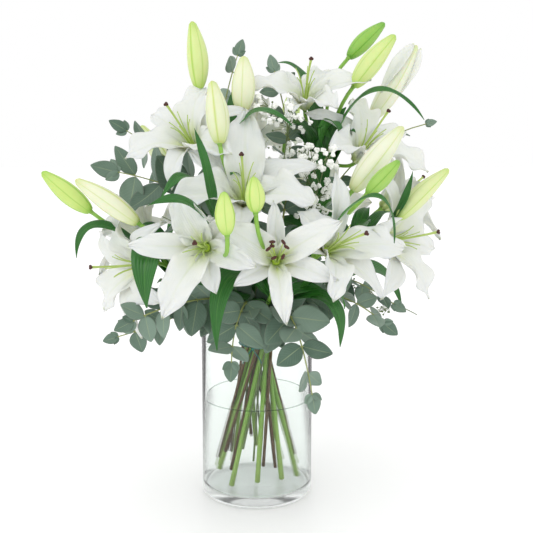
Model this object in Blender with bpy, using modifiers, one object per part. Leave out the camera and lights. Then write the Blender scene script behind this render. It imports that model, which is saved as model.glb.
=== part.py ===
"""White lilies, eucalyptus and gypsophila in a clear glass cylinder vase, in metres, +Z up.

The origin is the centre of the vase's base. The front of the bouquet faces -Y.
The stems are hand-tied in a spiral: each is straight below the tie and bends to its own head above it.
"""
import math
import random

import bmesh
import bpy
from mathutils import Matrix, Vector
from mathutils.bvhtree import BVHTree

# Vase and water
VASE_HEIGHT = 0.250
VASE_RADIUS = 0.075
VASE_WALL = 0.004
VASE_FLOOR = 0.012
VASE_CORNER = 0.006
WATER_LEVEL = 0.131
WATER_GAP = 0.0009
TURNED_STEPS = 32
GAP = 0.0003

# The tie and the spiral of stems through it
TIE_HEIGHT = 0.205
TIE_RADIUS = 0.0255
TWINE_RADIUS = 0.0018
SPIRAL_SLOPE = 0.30
INNER_RING, LILY_RING, OUTER_RING = 0.0068, 0.0140, 0.0205
FIRST_SLOT = math.radians(22)
SLOT_ANGLE = math.radians(36)

# Plant sizes
LILY_STEM = 0.0034
PEDICEL = 0.0020
BRANCH_STEM = 0.0015
SPRAY_STEM = 0.0012
FILAMENT = 0.0012
TWIG = 0.0009
FLORET = 0.0045
ROUND_LEAF_WIDTH = 0.34
PETAL_THICKNESS = 0.0014
LEAF_THICKNESS = 0.0012

# How Booleans are kept clean
WELD_DISTANCE = 0.000004
CUTTER_GROWTH = 0.0009
LEAST_KEPT = 0.5

# Lily stem: slot, foot height, top
LILY_STEMS = {
    "lily_stem_back_left": (0, 0.030, (-0.055, 0.070, 0.370)),
    "lily_stem_left": (1, 0.024, (-0.112, -0.008, 0.300)),
    "lily_stem_upper_left": (2, 0.028, (-0.062, 0.000, 0.435)),
    "lily_stem_left_front": (3, 0.022, (-0.048, -0.100, 0.325)),
    "lily_stem_centre": (4, 0.040, (-0.010, -0.046, 0.372)),
    "lily_stem_front": (5, 0.020, (0.022, -0.108, 0.312)),
    "lily_stem_right_front": (6, 0.026, (0.066, -0.088, 0.318)),
    "lily_stem_right": (7, 0.034, (0.130, 0.000, 0.325)),
    "lily_stem_upper_right": (8, 0.022, (0.094, 0.032, 0.440)),
    "lily_stem_back_right": (9, 0.030, (0.062, 0.085, 0.360)),
}

# Open lily: stem, throat, facing, roll, tepal length, how far the tepals open (degrees)
BLOOMS = {
    "bloom_front": ("lily_stem_front", (0.025, -0.170, 0.342), (0.03, -1.0, 0.25), 57, 0.094, 96),
    "bloom_centre": ("lily_stem_centre", (-0.014, -0.100, 0.416), (0.02, -0.72, 0.70), 4, 0.112, 92),
    "bloom_upper_left": (
        "lily_stem_upper_left", (-0.087, -0.050, 0.483), (-0.30, -0.70, 0.65), 8, 0.098, 112,
    ),
    "bloom_left_front": (
        "lily_stem_left_front", (-0.060, -0.170, 0.355), (-0.12, -1.0, 0.15), -12, 0.104, 100,
    ),
    "bloom_left": ("lily_stem_left", (-0.156, -0.050, 0.318), (-0.80, -0.60, 0.00), 10, 0.110, 102),
    "bloom_right_front": (
        "lily_stem_right_front", (0.096, -0.140, 0.354), (0.50, -0.80, 0.40), -39, 0.106, 100,
    ),
    "bloom_right": ("lily_stem_right", (0.177, -0.050, 0.350), (0.78, -0.60, 0.15), 20, 0.106, 96),
    "bloom_upper_right": (
        "lily_stem_upper_right", (0.142, -0.010, 0.471), (0.38, -0.55, 0.74), 0, 0.104, 102,
    ),
    "bloom_top": ("lily_stem_upper_right", (0.064, 0.000, 0.542), (0.00, -0.62, 0.78), 28, 0.096, 92),
    "bloom_right_back": ("lily_stem_right", (0.195, 0.045, 0.400), (0.80, 0.25, 0.50), 0, 0.096, 90),
    "bloom_far_left": ("lily_stem_left", (-0.165, 0.060, 0.350), (-0.80, 0.35, 0.50), 0, 0.096, 94),
    "bloom_back_left": (
        "lily_stem_back_left", (-0.070, 0.145, 0.385), (-0.35, 0.90, 0.30), 5, 0.100, 98,
    ),
    "bloom_back_right": (
        "lily_stem_back_right", (0.085, 0.145, 0.380), (0.35, 0.90, 0.25), 20, 0.102, 98,
    ),
    "bloom_back_top": (
        "lily_stem_back_left", (-0.010, 0.095, 0.480), (-0.05, 0.60, 0.80), 0, 0.100, 96,
    ),
}
# For each tepal of a bloom: turn (degrees), extra opening (degrees), share of the length and of the width
TEPAL_SET = {
    "bloom_left_front": (
        (-10, 0, 0.76, 0.90), (2, -30, 0.62, 0.85), (0, 10, 0.74, 0.70),
        (0, 5, 0.72, 0.85), (-15, -6, 1.05, 0.92), (-14, 8, 1.00, 0.92),
    ),
    "bloom_front": (
        (0, 0, 1.06, 0.85), (-4, 0, 1.00, 0.95), (0, 0, 0.98, 0.68),
        (3, 6, 0.70, 0.85), (6, 0, 0.98, 0.95), (1, 14, 0.85, 0.70),
    ),
    "bloom_right_front": (
        (-14, 12, 0.66, 0.75), (-26, -8, 1.00, 0.80), (0, 0, 1.00, 0.95),
        (-5, 0, 0.92, 1.00), (-8, 0, 0.84, 0.75), (0, 0, 0.60, 0.80),
    ),
    "bloom_top": (
        (12, 16, 0.74, 0.90), (0, 0, 1.05, 1.15), (0, 0, 0.85, 0.90),
        (0, 0, 0.80, 0.80), (0, 0, 0.95, 0.90), (-12, 16, 0.76, 0.80),
    ),
    "bloom_centre": (
        (0, -26, 1.08, 1.08), (6, -8, 1.00, 1.30), (-8, 0, 1.02, 1.05),
        (0, 0, 0.80, 1.00), (0, 0, 1.00, 1.05), (0, -6, 0.92, 1.15),
    ),
}
PLAIN_SET = ((0, 0, 1.0, 1.0),) * 6
THROAT_DEPTH = 0.030
TEPAL_WIDTHS = (0.040, 0.030)
FULL_LENGTH = 0.1
CLAW_ANGLE = 16
OUTER_OPENS_MORE = 8
SECTOR_SHARE = 0.50
STAMEN_REACH, STAMEN_SPREAD = 0.50, 0.14
CUP_ROWS = (0.04, 0.34)
BLADE_ROWS = (0.58, 0.82, 1.0)

BUD_ROWS = (0.0, 0.12, 0.32, 0.60, 0.84, 1.0)
PEDICEL_ROOT = 0.006

# Bud: stem, base, tip, width
BUDS = {
    "bud_top_left": ("lily_stem_upper_left", (-0.075, 0.000, 0.544), (-0.083, 0.000, 0.628), 0.027),
    "bud_left_of_centre": ("lily_stem_centre", (-0.043, -0.100, 0.472), (-0.052, -0.090, 0.545), 0.028),
    "bud_centre_top": ("lily_stem_centre", (-0.018, -0.030, 0.512), (-0.016, -0.020, 0.582), 0.030),
    "bud_top_right_high": (
        "lily_stem_upper_right", (0.124, 0.040, 0.588), (0.172, 0.050, 0.634), 0.023,
    ),
    "bud_top_right_low": ("lily_stem_upper_right", (0.127, 0.000, 0.547), (0.179, 0.000, 0.611), 0.028),
    "bud_opening_right": ("lily_stem_upper_right", (0.158, 0.055, 0.508), (0.218, 0.062, 0.606), 0.026),
    "bud_right_white": ("lily_stem_right_front", (0.117, -0.100, 0.416), (0.177, -0.090, 0.491), 0.030),
    "bud_right_green": ("lily_stem_right_front", (0.131, -0.130, 0.413), (0.167, -0.130, 0.451), 0.020),
    "bud_right_edge": ("lily_stem_right", (0.178, -0.070, 0.380), (0.240, -0.060, 0.440), 0.024),
    "bud_left_edge": ("lily_stem_left", (-0.215, -0.030, 0.386), (-0.275, -0.030, 0.436), 0.026),
    "bud_left_white": ("lily_stem_left", (-0.146, -0.080, 0.375), (-0.223, -0.070, 0.427), 0.026),
    "bud_front_left": ("lily_stem_left_front", (-0.030, -0.200, 0.372), (-0.033, -0.200, 0.418), 0.022),
    "bud_front_right": ("lily_stem_front", (0.001, -0.190, 0.396), (-0.001, -0.190, 0.434), 0.022),
    "bud_back_high": ("lily_stem_back_right", (0.040, 0.110, 0.480), (0.060, 0.135, 0.565), 0.026),
    "bud_back_left": ("lily_stem_back_left", (-0.120, 0.100, 0.430), (-0.170, 0.125, 0.500), 0.026),
}

# Long leaf: stem, share of the way up from tie to top, two guide points, tip, width
LONG_LEAVES = (
    ("lily_stem_centre", 0.97, (-0.060, -0.020, 0.480), (-0.005, -0.110, 0.545),
        (0.043, -0.120, 0.491), 0.018),
    ("lily_stem_left_front", 0.95, (-0.045, -0.150, 0.410), (-0.055, -0.170, 0.452),
        (-0.068, -0.160, 0.488), 0.016),
    ("lily_stem_left_front", 0.85, (-0.046, -0.185, 0.418), (-0.087, -0.195, 0.418),
        (-0.116, -0.200, 0.403), 0.017),
    ("lily_stem_upper_left", 0.75, (-0.070, -0.090, 0.455), (-0.092, -0.120, 0.440),
        (-0.111, -0.130, 0.406), 0.020),
    ("lily_stem_left", 0.70, (-0.110, -0.115, 0.392), (-0.132, -0.180, 0.362),
        (-0.125, -0.160, 0.283), 0.050),
    ("lily_stem_front", 0.75, (-0.028, -0.150, 0.372), (-0.054, -0.190, 0.322),
        (-0.044, -0.170, 0.234), 0.030),
    ("lily_stem_left", 0.90, (-0.190, -0.045, 0.400), (-0.225, -0.075, 0.380),
        (-0.225, -0.070, 0.330), 0.016),
    ("lily_stem_right_front", 0.70, (0.080, -0.160, 0.345), (0.096, -0.175, 0.320),
        (0.104, -0.150, 0.280), 0.020),
    ("lily_stem_front", 0.45, (0.080, -0.140, 0.320), (0.105, -0.150, 0.290), (0.101, -0.130, 0.230), 0.026),
    ("lily_stem_right_front", 0.95, (0.105, -0.150, 0.430), (0.158, -0.185, 0.440),
        (0.160, -0.150, 0.357), 0.014),
    ("lily_stem_right", 0.95, (0.170, -0.070, 0.360), (0.185, -0.080, 0.400), (0.192, -0.080, 0.438), 0.015),
    ("lily_stem_upper_right", 0.95, (0.110, -0.030, 0.560), (0.170, -0.050, 0.560),
        (0.210, -0.050, 0.501), 0.015),
    ("lily_stem_upper_right", 0.80, (0.080, 0.000, 0.520), (0.100, -0.030, 0.520),
        (0.112, -0.040, 0.470), 0.022),
    ("lily_stem_upper_right", 0.97, (0.080, 0.046, 0.535), (0.062, 0.050, 0.590),
        (0.026, 0.042, 0.580), 0.026),
    ("lily_stem_upper_right", 0.70, (0.075, 0.010, 0.420), (0.095, 0.000, 0.500),
        (0.118, 0.010, 0.520), 0.030),
    ("lily_stem_centre", 0.80, (-0.030, -0.020, 0.440), (-0.045, -0.010, 0.500),
        (-0.022, 0.000, 0.560), 0.024),
    ("lily_stem_back_left", 0.85, (-0.080, 0.110, 0.430), (-0.130, 0.150, 0.400),
        (-0.140, 0.160, 0.310), 0.028),
    ("lily_stem_back_left", 0.55, (-0.030, 0.130, 0.330), (-0.020, 0.190, 0.320),
        (-0.015, 0.190, 0.230), 0.026),
    ("lily_stem_back_right", 0.85, (0.070, 0.130, 0.430), (0.090, 0.180, 0.420),
        (0.130, 0.190, 0.340), 0.026),
    ("lily_stem_right", 0.60, (0.140, 0.050, 0.320), (0.190, 0.080, 0.310), (0.210, 0.090, 0.240), 0.026),
)

TIP_LEAF_FACES = (0.1, -1.0, 0.35)
# Eucalyptus: slot, ring, foot height, two guide points, tip, leaf pairs, leaf length
EUCALYPTUS = {
    "eucalyptus_left_high": (
        2, OUTER_RING, 0.060, (-0.060, 0.030, 0.370), (-0.130, 0.005, 0.425),
            (-0.182, 0.005, 0.435), 3, 0.066,
    ),
    "eucalyptus_left_upright": (
        1, OUTER_RING, 0.050, (-0.060, 0.065, 0.380), (-0.112, 0.056, 0.448),
            (-0.176, 0.038, 0.490), 3, 0.048,
    ),
    "eucalyptus_top": (
        0, INNER_RING, 0.045, (-0.050, 0.050, 0.400), (-0.050, 0.045, 0.520),
            (-0.026, 0.040, 0.590), 4, 0.044,
    ),
    "eucalyptus_left_low": (
        3, OUTER_RING, 0.085, (-0.045, -0.060, 0.275), (-0.105, -0.100, 0.280),
            (-0.148, -0.110, 0.258), 4, 0.052,
    ),
    "eucalyptus_left_trailing": (
        2, INNER_RING, 0.070, (-0.060, -0.026, 0.260), (-0.122, -0.056, 0.242),
            (-0.176, -0.064, 0.228), 3, 0.040,
    ),
    "eucalyptus_front_left": (
        4, OUTER_RING, 0.055, (-0.012, -0.085, 0.276), (-0.028, -0.128, 0.264),
            (-0.029, -0.130, 0.212), 3, 0.050,
    ),
    "eucalyptus_front_drooping": (
        5, OUTER_RING, 0.036, (0.028, -0.085, 0.266), (0.050, -0.153, 0.272),
            (0.067, -0.146, 0.177), 4, 0.052,
    ),
    "eucalyptus_right_low": (
        6, OUTER_RING, 0.040, (0.060, -0.060, 0.280), (0.115, -0.100, 0.292),
            (0.154, -0.110, 0.256), 4, 0.046,
    ),
    "eucalyptus_right_back": (
        7, OUTER_RING, 0.060, (0.090, 0.000, 0.290), (0.140, 0.000, 0.290), (0.180, -0.025, 0.264), 3, 0.040,
    ),
    "eucalyptus_right_tip": (
        8, INNER_RING, 0.040, (0.080, 0.070, 0.360), (0.130, 0.090, 0.475), (0.232, 0.055, 0.500), 3, 0.030,
    ),
    "eucalyptus_centre": (
        7, INNER_RING, 0.055, (0.040, 0.020, 0.400), (0.050, 0.030, 0.480), (0.024, 0.034, 0.568), 4, 0.046,
    ),
    "eucalyptus_back": (
        9, OUTER_RING, 0.050, (0.020, 0.090, 0.300), (0.030, 0.170, 0.320), (0.040, 0.200, 0.260), 4, 0.044,
    ),
}

# Gypsophila: slot, ring, foot height, two guide points, tip, twigs, spread of the twigs, seed
GYPSOPHILA = {
    "gypsophila_centre": (
        4, INNER_RING, 0.060, (0.020, -0.020, 0.380), (0.040, -0.040, 0.450),
            (0.040, -0.035, 0.520), 8, 0.050, 3,
    ),
    "gypsophila_right": (
        6, INNER_RING, 0.050, (0.060, -0.020, 0.360), (0.080, -0.060, 0.420),
            (0.090, -0.070, 0.470), 8, 0.045, 5,
    ),
    "gypsophila_low_right": (
        8, OUTER_RING, 0.070, (0.090, 0.030, 0.265), (0.160, 0.035, 0.272), (0.220, 0.020, 0.240),
            6, 0.030, 8,
    ),
    "gypsophila_left": (
        3, INNER_RING, 0.065, (-0.040, -0.050, 0.330), (-0.085, -0.100, 0.370),
            (-0.112, -0.110, 0.385), 5, 0.032, 14,
    ),
    "gypsophila_front": (
        5, INNER_RING, 0.055, (0.000, -0.060, 0.300), (-0.008, -0.110, 0.335),
            (-0.020, -0.135, 0.350), 4, 0.028, 21,
    ),
    "gypsophila_back": (
        9, INNER_RING, 0.055, (0.000, 0.080, 0.380), (0.010, 0.120, 0.440), (0.010, 0.140, 0.500),
            6, 0.050, 11,
    ),
}

# Base colour, roughness, share of light let through
COLOURS = {
    "glass": ((0.90, 0.96, 0.93), 0.03, 1.0),
    "water": ((0.93, 0.97, 0.95), 0.02, 1.0),
    "twine": ((0.10, 0.32, 0.26), 0.80, 0.0),
    "petal": ((0.92, 0.92, 0.86), 0.45, 0.0),
    "bud": ((0.72, 0.80, 0.42), 0.42, 0.0),
    "stem": ((0.24, 0.42, 0.11), 0.45, 0.0),
    "eucalyptus": ((0.26, 0.36, 0.32), 0.60, 0.0),
    "gypsophila": ((0.94, 0.94, 0.90), 0.70, 0.0),
}


def clear_scene():
    for thing in list(bpy.data.objects):
        bpy.data.objects.remove(thing, do_unlink=True)


def new_collection(name):
    collection = bpy.data.collections.new(name)
    bpy.context.scene.collection.children.link(collection)
    return collection


def make_materials():
    made = {}
    for name, (colour, roughness, transmission) in COLOURS.items():
        material = bpy.data.materials.new(name)
        material.use_nodes = True
        shader = material.node_tree.nodes["Principled BSDF"]
        shader.inputs["Base Color"].default_value = (*colour, 1.0)
        shader.inputs["Roughness"].default_value = roughness
        shader.inputs["Metallic"].default_value = 0.0
        shader.inputs["Transmission Weight"].default_value = transmission
        material.diffuse_color = (*colour, 1.0)
        made[name] = material
    return made


def new_object(name, mesh, collection):
    thing = bpy.data.objects.new(name, mesh)
    collection.objects.link(thing)
    return thing


def evaluated_mesh(thing):
    graph = bpy.context.evaluated_depsgraph_get()
    return bpy.data.meshes.new_from_object(thing.evaluated_get(graph))


def discard(thing):
    data = thing.data
    bpy.data.objects.remove(thing, do_unlink=True)
    if isinstance(data, bpy.types.Mesh):
        bpy.data.meshes.remove(data)
    else:
        bpy.data.curves.remove(data)


def bezier(points, t):
    a, b, c, d = (Vector(p) for p in points)
    s = 1 - t
    return a * s**3 + b * 3 * s * s * t + c * 3 * s * t * t + d * t**3


def bezier_run(points, steps):
    return [bezier(points, i / steps) for i in range(steps + 1)]


def smooth(t):
    t = min(max(t, 0.0), 1.0)
    return t * t * (3 - 2 * t)


def tube(points, radii, sides_level=0):
    """A closed tube through the points: 4 sides at level 0, 6 at level 1."""
    curve = bpy.data.curves.new("tube", "CURVE")
    curve.dimensions = "3D"
    curve.bevel_depth = 1.0
    curve.bevel_resolution = sides_level
    curve.use_fill_caps = True
    spline = curve.splines.new("POLY")
    spline.points.add(len(points) - 1)
    for knot, place, radius in zip(spline.points, points, radii):
        knot.co = (*place, 1.0)
        knot.radius = radius
    thing = new_object("tube", curve, HELPERS)
    mesh = evaluated_mesh(thing)
    discard(thing)
    form = bmesh.new()
    form.from_mesh(mesh)
    bmesh.ops.remove_doubles(form, verts=form.verts, dist=0.00002)
    bmesh.ops.triangulate(form, faces=form.faces)
    bmesh.ops.recalc_face_normals(form, faces=form.faces)
    form.to_mesh(mesh)
    form.free()
    return mesh


def rod(start, end, radius):
    """A thin three-sided rod, for what is finer than a pedicel."""
    along = Vector(end) - Vector(start)
    form = bmesh.new()
    middle = (Vector(start) + Vector(end)) / 2
    place = Matrix.Translation(middle) @ along.to_track_quat("Z", "Y").to_matrix().to_4x4()
    bmesh.ops.create_cone(
        form, cap_ends=True, segments=3, radius1=radius, radius2=radius, depth=along.length, matrix=place
    )
    mesh = bpy.data.meshes.new("rod")
    form.to_mesh(mesh)
    form.free()
    return mesh


def thickened(mesh, thickness):
    """The closed solid of this thickness about an open surface."""
    thing = new_object("sheet", mesh, HELPERS)
    solidify = thing.modifiers.new("Solidify", "SOLIDIFY")
    solidify.thickness = thickness
    solidify.offset = 0.0
    made = evaluated_mesh(thing)
    discard(thing)
    form = bmesh.new()
    form.from_mesh(made)
    bmesh.ops.triangulate(form, faces=form.faces)
    bmesh.ops.recalc_face_normals(form, faces=form.faces)
    form.to_mesh(made)
    form.free()
    return made


def sheet(place, across, along, thickness):
    """A thin closed sheet whose grid point (u, v), u from -1 to 1 and v from 0 to 1, goes to place(u, v)."""
    form = bmesh.new()
    bmesh.ops.create_grid(form, x_segments=across, y_segments=along, size=1.0)
    for corner in form.verts:
        corner.co = place(corner.co.x, (corner.co.y + 1) / 2)
    mesh = bpy.data.meshes.new("sheet")
    form.to_mesh(mesh)
    form.free()
    return thickened(mesh, thickness)


def weld(mesh):
    """Merges the corners a Boolean leaves almost together; gives a closed mesh's volume, or else 0."""
    form = bmesh.new()
    form.from_mesh(mesh)
    bmesh.ops.triangulate(form, faces=form.faces)
    bmesh.ops.remove_doubles(form, verts=form.verts, dist=WELD_DISTANCE)
    bmesh.ops.dissolve_degenerate(form, edges=form.edges, dist=WELD_DISTANCE)
    closed = bool(form.faces) and all(len(edge.link_faces) == 2 for edge in form.edges)
    volume = form.calc_volume(signed=True) if closed else 0.0
    if volume < 0:
        bmesh.ops.reverse_faces(form, faces=form.faces)
    form.to_mesh(mesh)
    form.free()
    return abs(volume)


def boolean_of(base, other, operation, solver):
    thing = new_object("base", base, HELPERS)
    operand = new_object("operand", other, HELPERS)
    boolean = thing.modifiers.new("Boolean", "BOOLEAN")
    boolean.operation = operation
    boolean.solver = solver
    boolean.object = operand
    made = evaluated_mesh(thing)
    bpy.data.objects.remove(operand)
    bpy.data.objects.remove(thing)
    return made


def combine(base, others, operation):
    """The base mesh joined to or cut by the others in turn. EXACT sometimes leaves an open edge, or only a
    scrap of the base, where thin sheets cross; MANIFOLD then does that step."""
    for other in others:
        whole = weld(base)
        made = boolean_of(base, other, operation, "EXACT")
        volume = weld(made)
        if volume < LEAST_KEPT * whole:
            second = boolean_of(base, other, operation, "MANIFOLD")
            if weld(second) > volume:
                made, second = second, made
            bpy.data.meshes.remove(second)
        bpy.data.meshes.remove(base)
        bpy.data.meshes.remove(other)
        base = made
    return base


def largest_island(mesh):
    """The one connected shell with the most volume, without slivers."""
    form = bmesh.new()
    form.from_mesh(mesh)
    unseen = set(form.faces)
    islands = []
    while unseen:
        edge_of = [unseen.pop()]
        island = []
        while edge_of:
            face = edge_of.pop()
            island.append(face)
            for edge in face.edges:
                for beside in edge.link_faces:
                    if beside in unseen:
                        unseen.remove(beside)
                        edge_of.append(beside)
        islands.append(island)

    def volume(faces):
        corners = [[vert.co for vert in face.verts] for face in faces if len(face.verts) == 3]
        return sum(a.dot(b.cross(c)) for a, b, c in corners) / 6

    islands.sort(key=volume, reverse=True)
    spare = [face for island in islands[1:] for face in island]
    bmesh.ops.delete(form, geom=spare, context="FACES")
    bmesh.ops.recalc_face_normals(form, faces=form.faces)
    form.to_mesh(mesh)
    form.free()
    return mesh


def fuse(bodies):
    return largest_island(combine(bodies[0], bodies[1:], "UNION")) if len(bodies) > 1 else bodies[0]


def turned(profile, name, steps=TURNED_STEPS):
    """A closed solid of revolution: the profile runs down its outer side and back up its inner side."""
    mesh = bpy.data.meshes.new(name)
    edges = [(i, i + 1) for i in range(len(profile) - 1)]
    mesh.from_pydata([(r, 0.0, z) for r, z in profile], edges, [])
    thing = new_object(name, mesh, HELPERS)
    screw = thing.modifiers.new("Screw", "SCREW")
    screw.steps = steps
    screw.render_steps = steps
    screw.use_merge_vertices = True
    screw.merge_threshold = 0.0001
    made = evaluated_mesh(thing)
    discard(thing)
    return made


def corner_arc(centre, radius, start, end, steps):
    return [
        (
            centre[0] + radius * math.cos(math.radians(start + (end - start) * i / steps)),
            centre[1] + radius * math.sin(math.radians(start + (end - start) * i / steps)),
        )
        for i in range(steps + 1)
    ]


def vase_mesh():
    rim = VASE_WALL / 2
    inner = VASE_RADIUS - VASE_WALL
    lip = corner_arc((VASE_RADIUS - rim, VASE_HEIGHT - rim), rim, 180, 0, 4)
    foot = corner_arc((VASE_RADIUS - VASE_CORNER, VASE_CORNER), VASE_CORNER, 0, -90, 3)
    well = corner_arc((inner - VASE_CORNER, VASE_FLOOR + VASE_CORNER), VASE_CORNER, -90, 0, 3)
    return turned([*lip, *foot, (0.0, 0.0), (0.0, VASE_FLOOR), *well, lip[0]], "vase")


def water_mesh():
    edge = VASE_RADIUS - VASE_WALL - WATER_GAP
    well = corner_arc((edge - VASE_CORNER, VASE_FLOOR + WATER_GAP + VASE_CORNER), VASE_CORNER, 0, -90, 3)
    return turned([(0.0, WATER_LEVEL), (edge, WATER_LEVEL), *well, (0.0, VASE_FLOOR + WATER_GAP)], "water")


def tie_mesh():
    ring = corner_arc((TIE_RADIUS, TIE_HEIGHT), TWINE_RADIUS, 0, -360, 6)
    ring[-1] = ring[0]
    return turned(ring, "twine_tie", 20)


def spiral_point(slot, ring, height):
    """Where the stem of this slot is at this height; every stem lies on the same family of straight lines."""
    angle = FIRST_SLOT + SLOT_ANGLE * slot
    out = Vector((math.cos(angle), math.sin(angle), 0.0)) * ring
    round_about = Vector((-math.sin(angle), math.cos(angle), 0.0))
    return out + round_about * SPIRAL_SLOPE * (height - TIE_HEIGHT) + Vector((0.0, 0.0, height))


def stem_route(slot, ring, foot, guides, steps):
    """Straight from the foot to the tie, then a smooth curve through the guide points to the tip."""
    tie = spiral_point(slot, ring, TIE_HEIGHT)
    above = spiral_point(slot, ring, TIE_HEIGHT + 0.035)
    straight = [spiral_point(slot, ring, foot), spiral_point(slot, ring, (foot + TIE_HEIGHT) / 2)]
    if len(guides) == 1:
        guides = (Vector(guides[0]) - Vector((0.0, 0.0, 0.4)) * (guides[0][2] - TIE_HEIGHT), guides[0])
        return straight + bezier_run((tie, above, *guides), steps)
    first = bezier_run((tie, above, above.lerp(Vector(guides[0]), 0.6), guides[0]), steps // 2)
    lead = Vector(guides[0]) + (Vector(guides[0]) - above) * 0.25
    return straight + first + bezier_run((guides[0], lead, guides[1], guides[2]), steps - steps // 2)[1:]


def leaf_place(guides, width, face_up=Vector((0.0, -0.5, 1.0)), fold=0.25, broad=0.40):
    """A long leaf along a curve, folded a little at its midrib."""

    def place(u, v):
        middle = bezier(guides, v)
        ahead = (bezier(guides, min(v + 0.02, 1.0)) - bezier(guides, max(v - 0.02, 0.0))).normalized()
        side = ahead.cross(face_up).normalized()
        normal = side.cross(ahead)
        half = width / 2 * max(0.12, math.sin(math.pi * v ** (math.log(0.5) / math.log(broad))) ** 0.8)
        return middle + side * half * u + normal * abs(u) * half * fold

    return place


def midrib(length, start, end, v, steps=12):
    """(out, along, angle) of a tepal's midrib, whose angle from the bloom's axis grows from start to end."""
    out, along = 0.004, 0.0
    for i in range(steps):
        angle = math.radians(start + (end - start) * smooth(v * (i + 0.5) / steps))
        out += math.sin(angle) * length * v / steps
        along += math.cos(angle) * length * v / steps
    return out, along, math.radians(start + (end - start) * smooth(v))


def tepal_shape(v):
    """Share of the full half width: narrow at the claw, widest past the middle, pointed at the tip."""
    if v < 0.52:
        return 0.34 + 0.66 * smooth(v / 0.52)
    return max(0.05, 1 - ((v - 0.52) / 0.48) ** 1.8)


def tepal_point(clock, length, width, end, u, v):
    """A point of one tepal, cupped across, in the bloom's own frame."""
    out, along, angle = midrib(length, CLAW_ANGLE, end, v)
    half = min(width / 2 * tepal_shape(v), SECTOR_SHARE * (out + 0.006))
    lift = half * u * u * (0.9 - 0.6 * v)
    local = Vector((out - math.cos(angle) * lift, half * u, along + math.sin(angle) * lift))
    local.rotate(Matrix.Rotation(-math.radians(clock), 3, "Z"))
    return local


def bloom_frame(base, facing):
    """Local Z is the bloom's axis and local X the side that looks highest, so clock 0 is up."""
    axis = Vector(facing).normalized()
    up = Vector((0.0, 0.5, 1.0))
    up = (up - axis * up.dot(axis)).normalized()
    left = axis.cross(up)
    frame = Matrix((up, left, axis)).transposed().to_4x4()
    frame.translation = base
    return frame


def pedicel(stem_top, base, facing, steps=3):
    way = (Vector(base) - Vector(stem_top)).normalized()
    start = Vector(stem_top) + way * (LILY_STEM + GAP)
    rise = Vector((way.x * 0.3, way.y * 0.3, 1.0)) * 0.25 * (Vector(base) - start).length
    back = Vector(base) - Vector(facing).normalized() * 0.4 * (Vector(base) - start).length
    return bezier_run((start, start + rise, back, base), steps)


def flower_shell(tepals, roll, length, end):
    """Six tepals as one closed shell: side by side in the cup, and free of each other past its rim."""

    def tepal(i, u, v):
        turn, extra, share, broad = tepals[i]
        outer = i % 2
        width = TEPAL_WIDTHS[outer] * length / FULL_LENGTH * broad
        opened = end + extra + outer * OUTER_OPENS_MORE
        return tepal_point(roll + 60 * i + turn, length * share, width, opened, u, v)

    form = bmesh.new()
    rings = []
    for v in CUP_ROWS:
        ring = []
        for i in range(6):
            ring.append(form.verts.new(tepal(i, 0.0, v)))
            ring.append(form.verts.new(tepal(i, -1.0, v).lerp(tepal((i + 1) % 6, 1.0, v), 0.5)))
        rings.append(ring)
    form.faces.new(rings[0])
    for low, high in zip(rings, rings[1:]):
        for k in range(12):
            form.faces.new((low[k], high[k], high[(k + 1) % 12], low[(k + 1) % 12]))
    for i in range(6):
        row = [rings[-1][2 * i - 1], rings[-1][2 * i], rings[-1][2 * i + 1]]
        for v in BLADE_ROWS:
            above = [form.verts.new(tepal(i, u, v)) for u in (1.0, 0.0, -1.0)]
            for k in range(2):
                form.faces.new((row[k], above[k], above[k + 1], row[k + 1]))
            row = above
    mesh = bpy.data.meshes.new("shell")
    form.to_mesh(mesh)
    form.free()
    return thickened(mesh, PETAL_THICKNESS)


def bloom_mesh(name, stem, throat, facing, roll, length, end):
    """The shell of tepals, one tube for pedicel and pistil, and six stamens that stand out from it."""
    axis = Vector(facing).normalized()
    base = Vector(throat) - axis * THROAT_DEPTH
    frame = bloom_frame(base, facing)
    shell = flower_shell(TEPAL_SET.get(name, PLAIN_SET), roll, length, end)
    shell.transform(frame)
    route = pedicel(LILY_STEMS[stem][2], base, facing)
    pistil = [frame @ Vector((0.0, 0.0, z)) for z in (0.006, 0.012, 0.55 * length, 0.60 * length)]
    core = tube([*route, *pistil], [PEDICEL] * len(route) + [0.0036, 0.0022, 0.0016, 0.0024])
    bodies = [shell, core]
    for i in range(6):
        aim = math.radians(60 * i + 30 + roll)
        ray = Vector((math.cos(aim), -math.sin(aim), 0.0))
        foot = ray * 0.0008 + Vector((0.0, 0.0, 0.016))
        tip = ray * STAMEN_SPREAD * length + Vector((0.0, 0.0, STAMEN_REACH * length))
        bodies.append(rod(frame @ foot, frame @ tip, FILAMENT))
    return fuse(bodies)


def bud_mesh(stem, base, tip, width):
    """A spindle, broadest below its middle, on its pedicel."""
    base, tip = Vector(base), Vector(tip)
    axis = (tip - base).normalized()
    route = pedicel(LILY_STEMS[stem][2], base, axis)
    spindle = [base.lerp(tip, share) for share in BUD_ROWS]
    radii = [width / 2 * math.sin(math.pi * (0.12 + 0.80 * share**0.85)) ** 0.9 for share in BUD_ROWS]
    bodies = [
        tube([*route, base + axis * PEDICEL_ROOT], [PEDICEL] * (len(route) + 1)),
        tube(spindle, radii, 1),
    ]
    return fuse(bodies)


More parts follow.
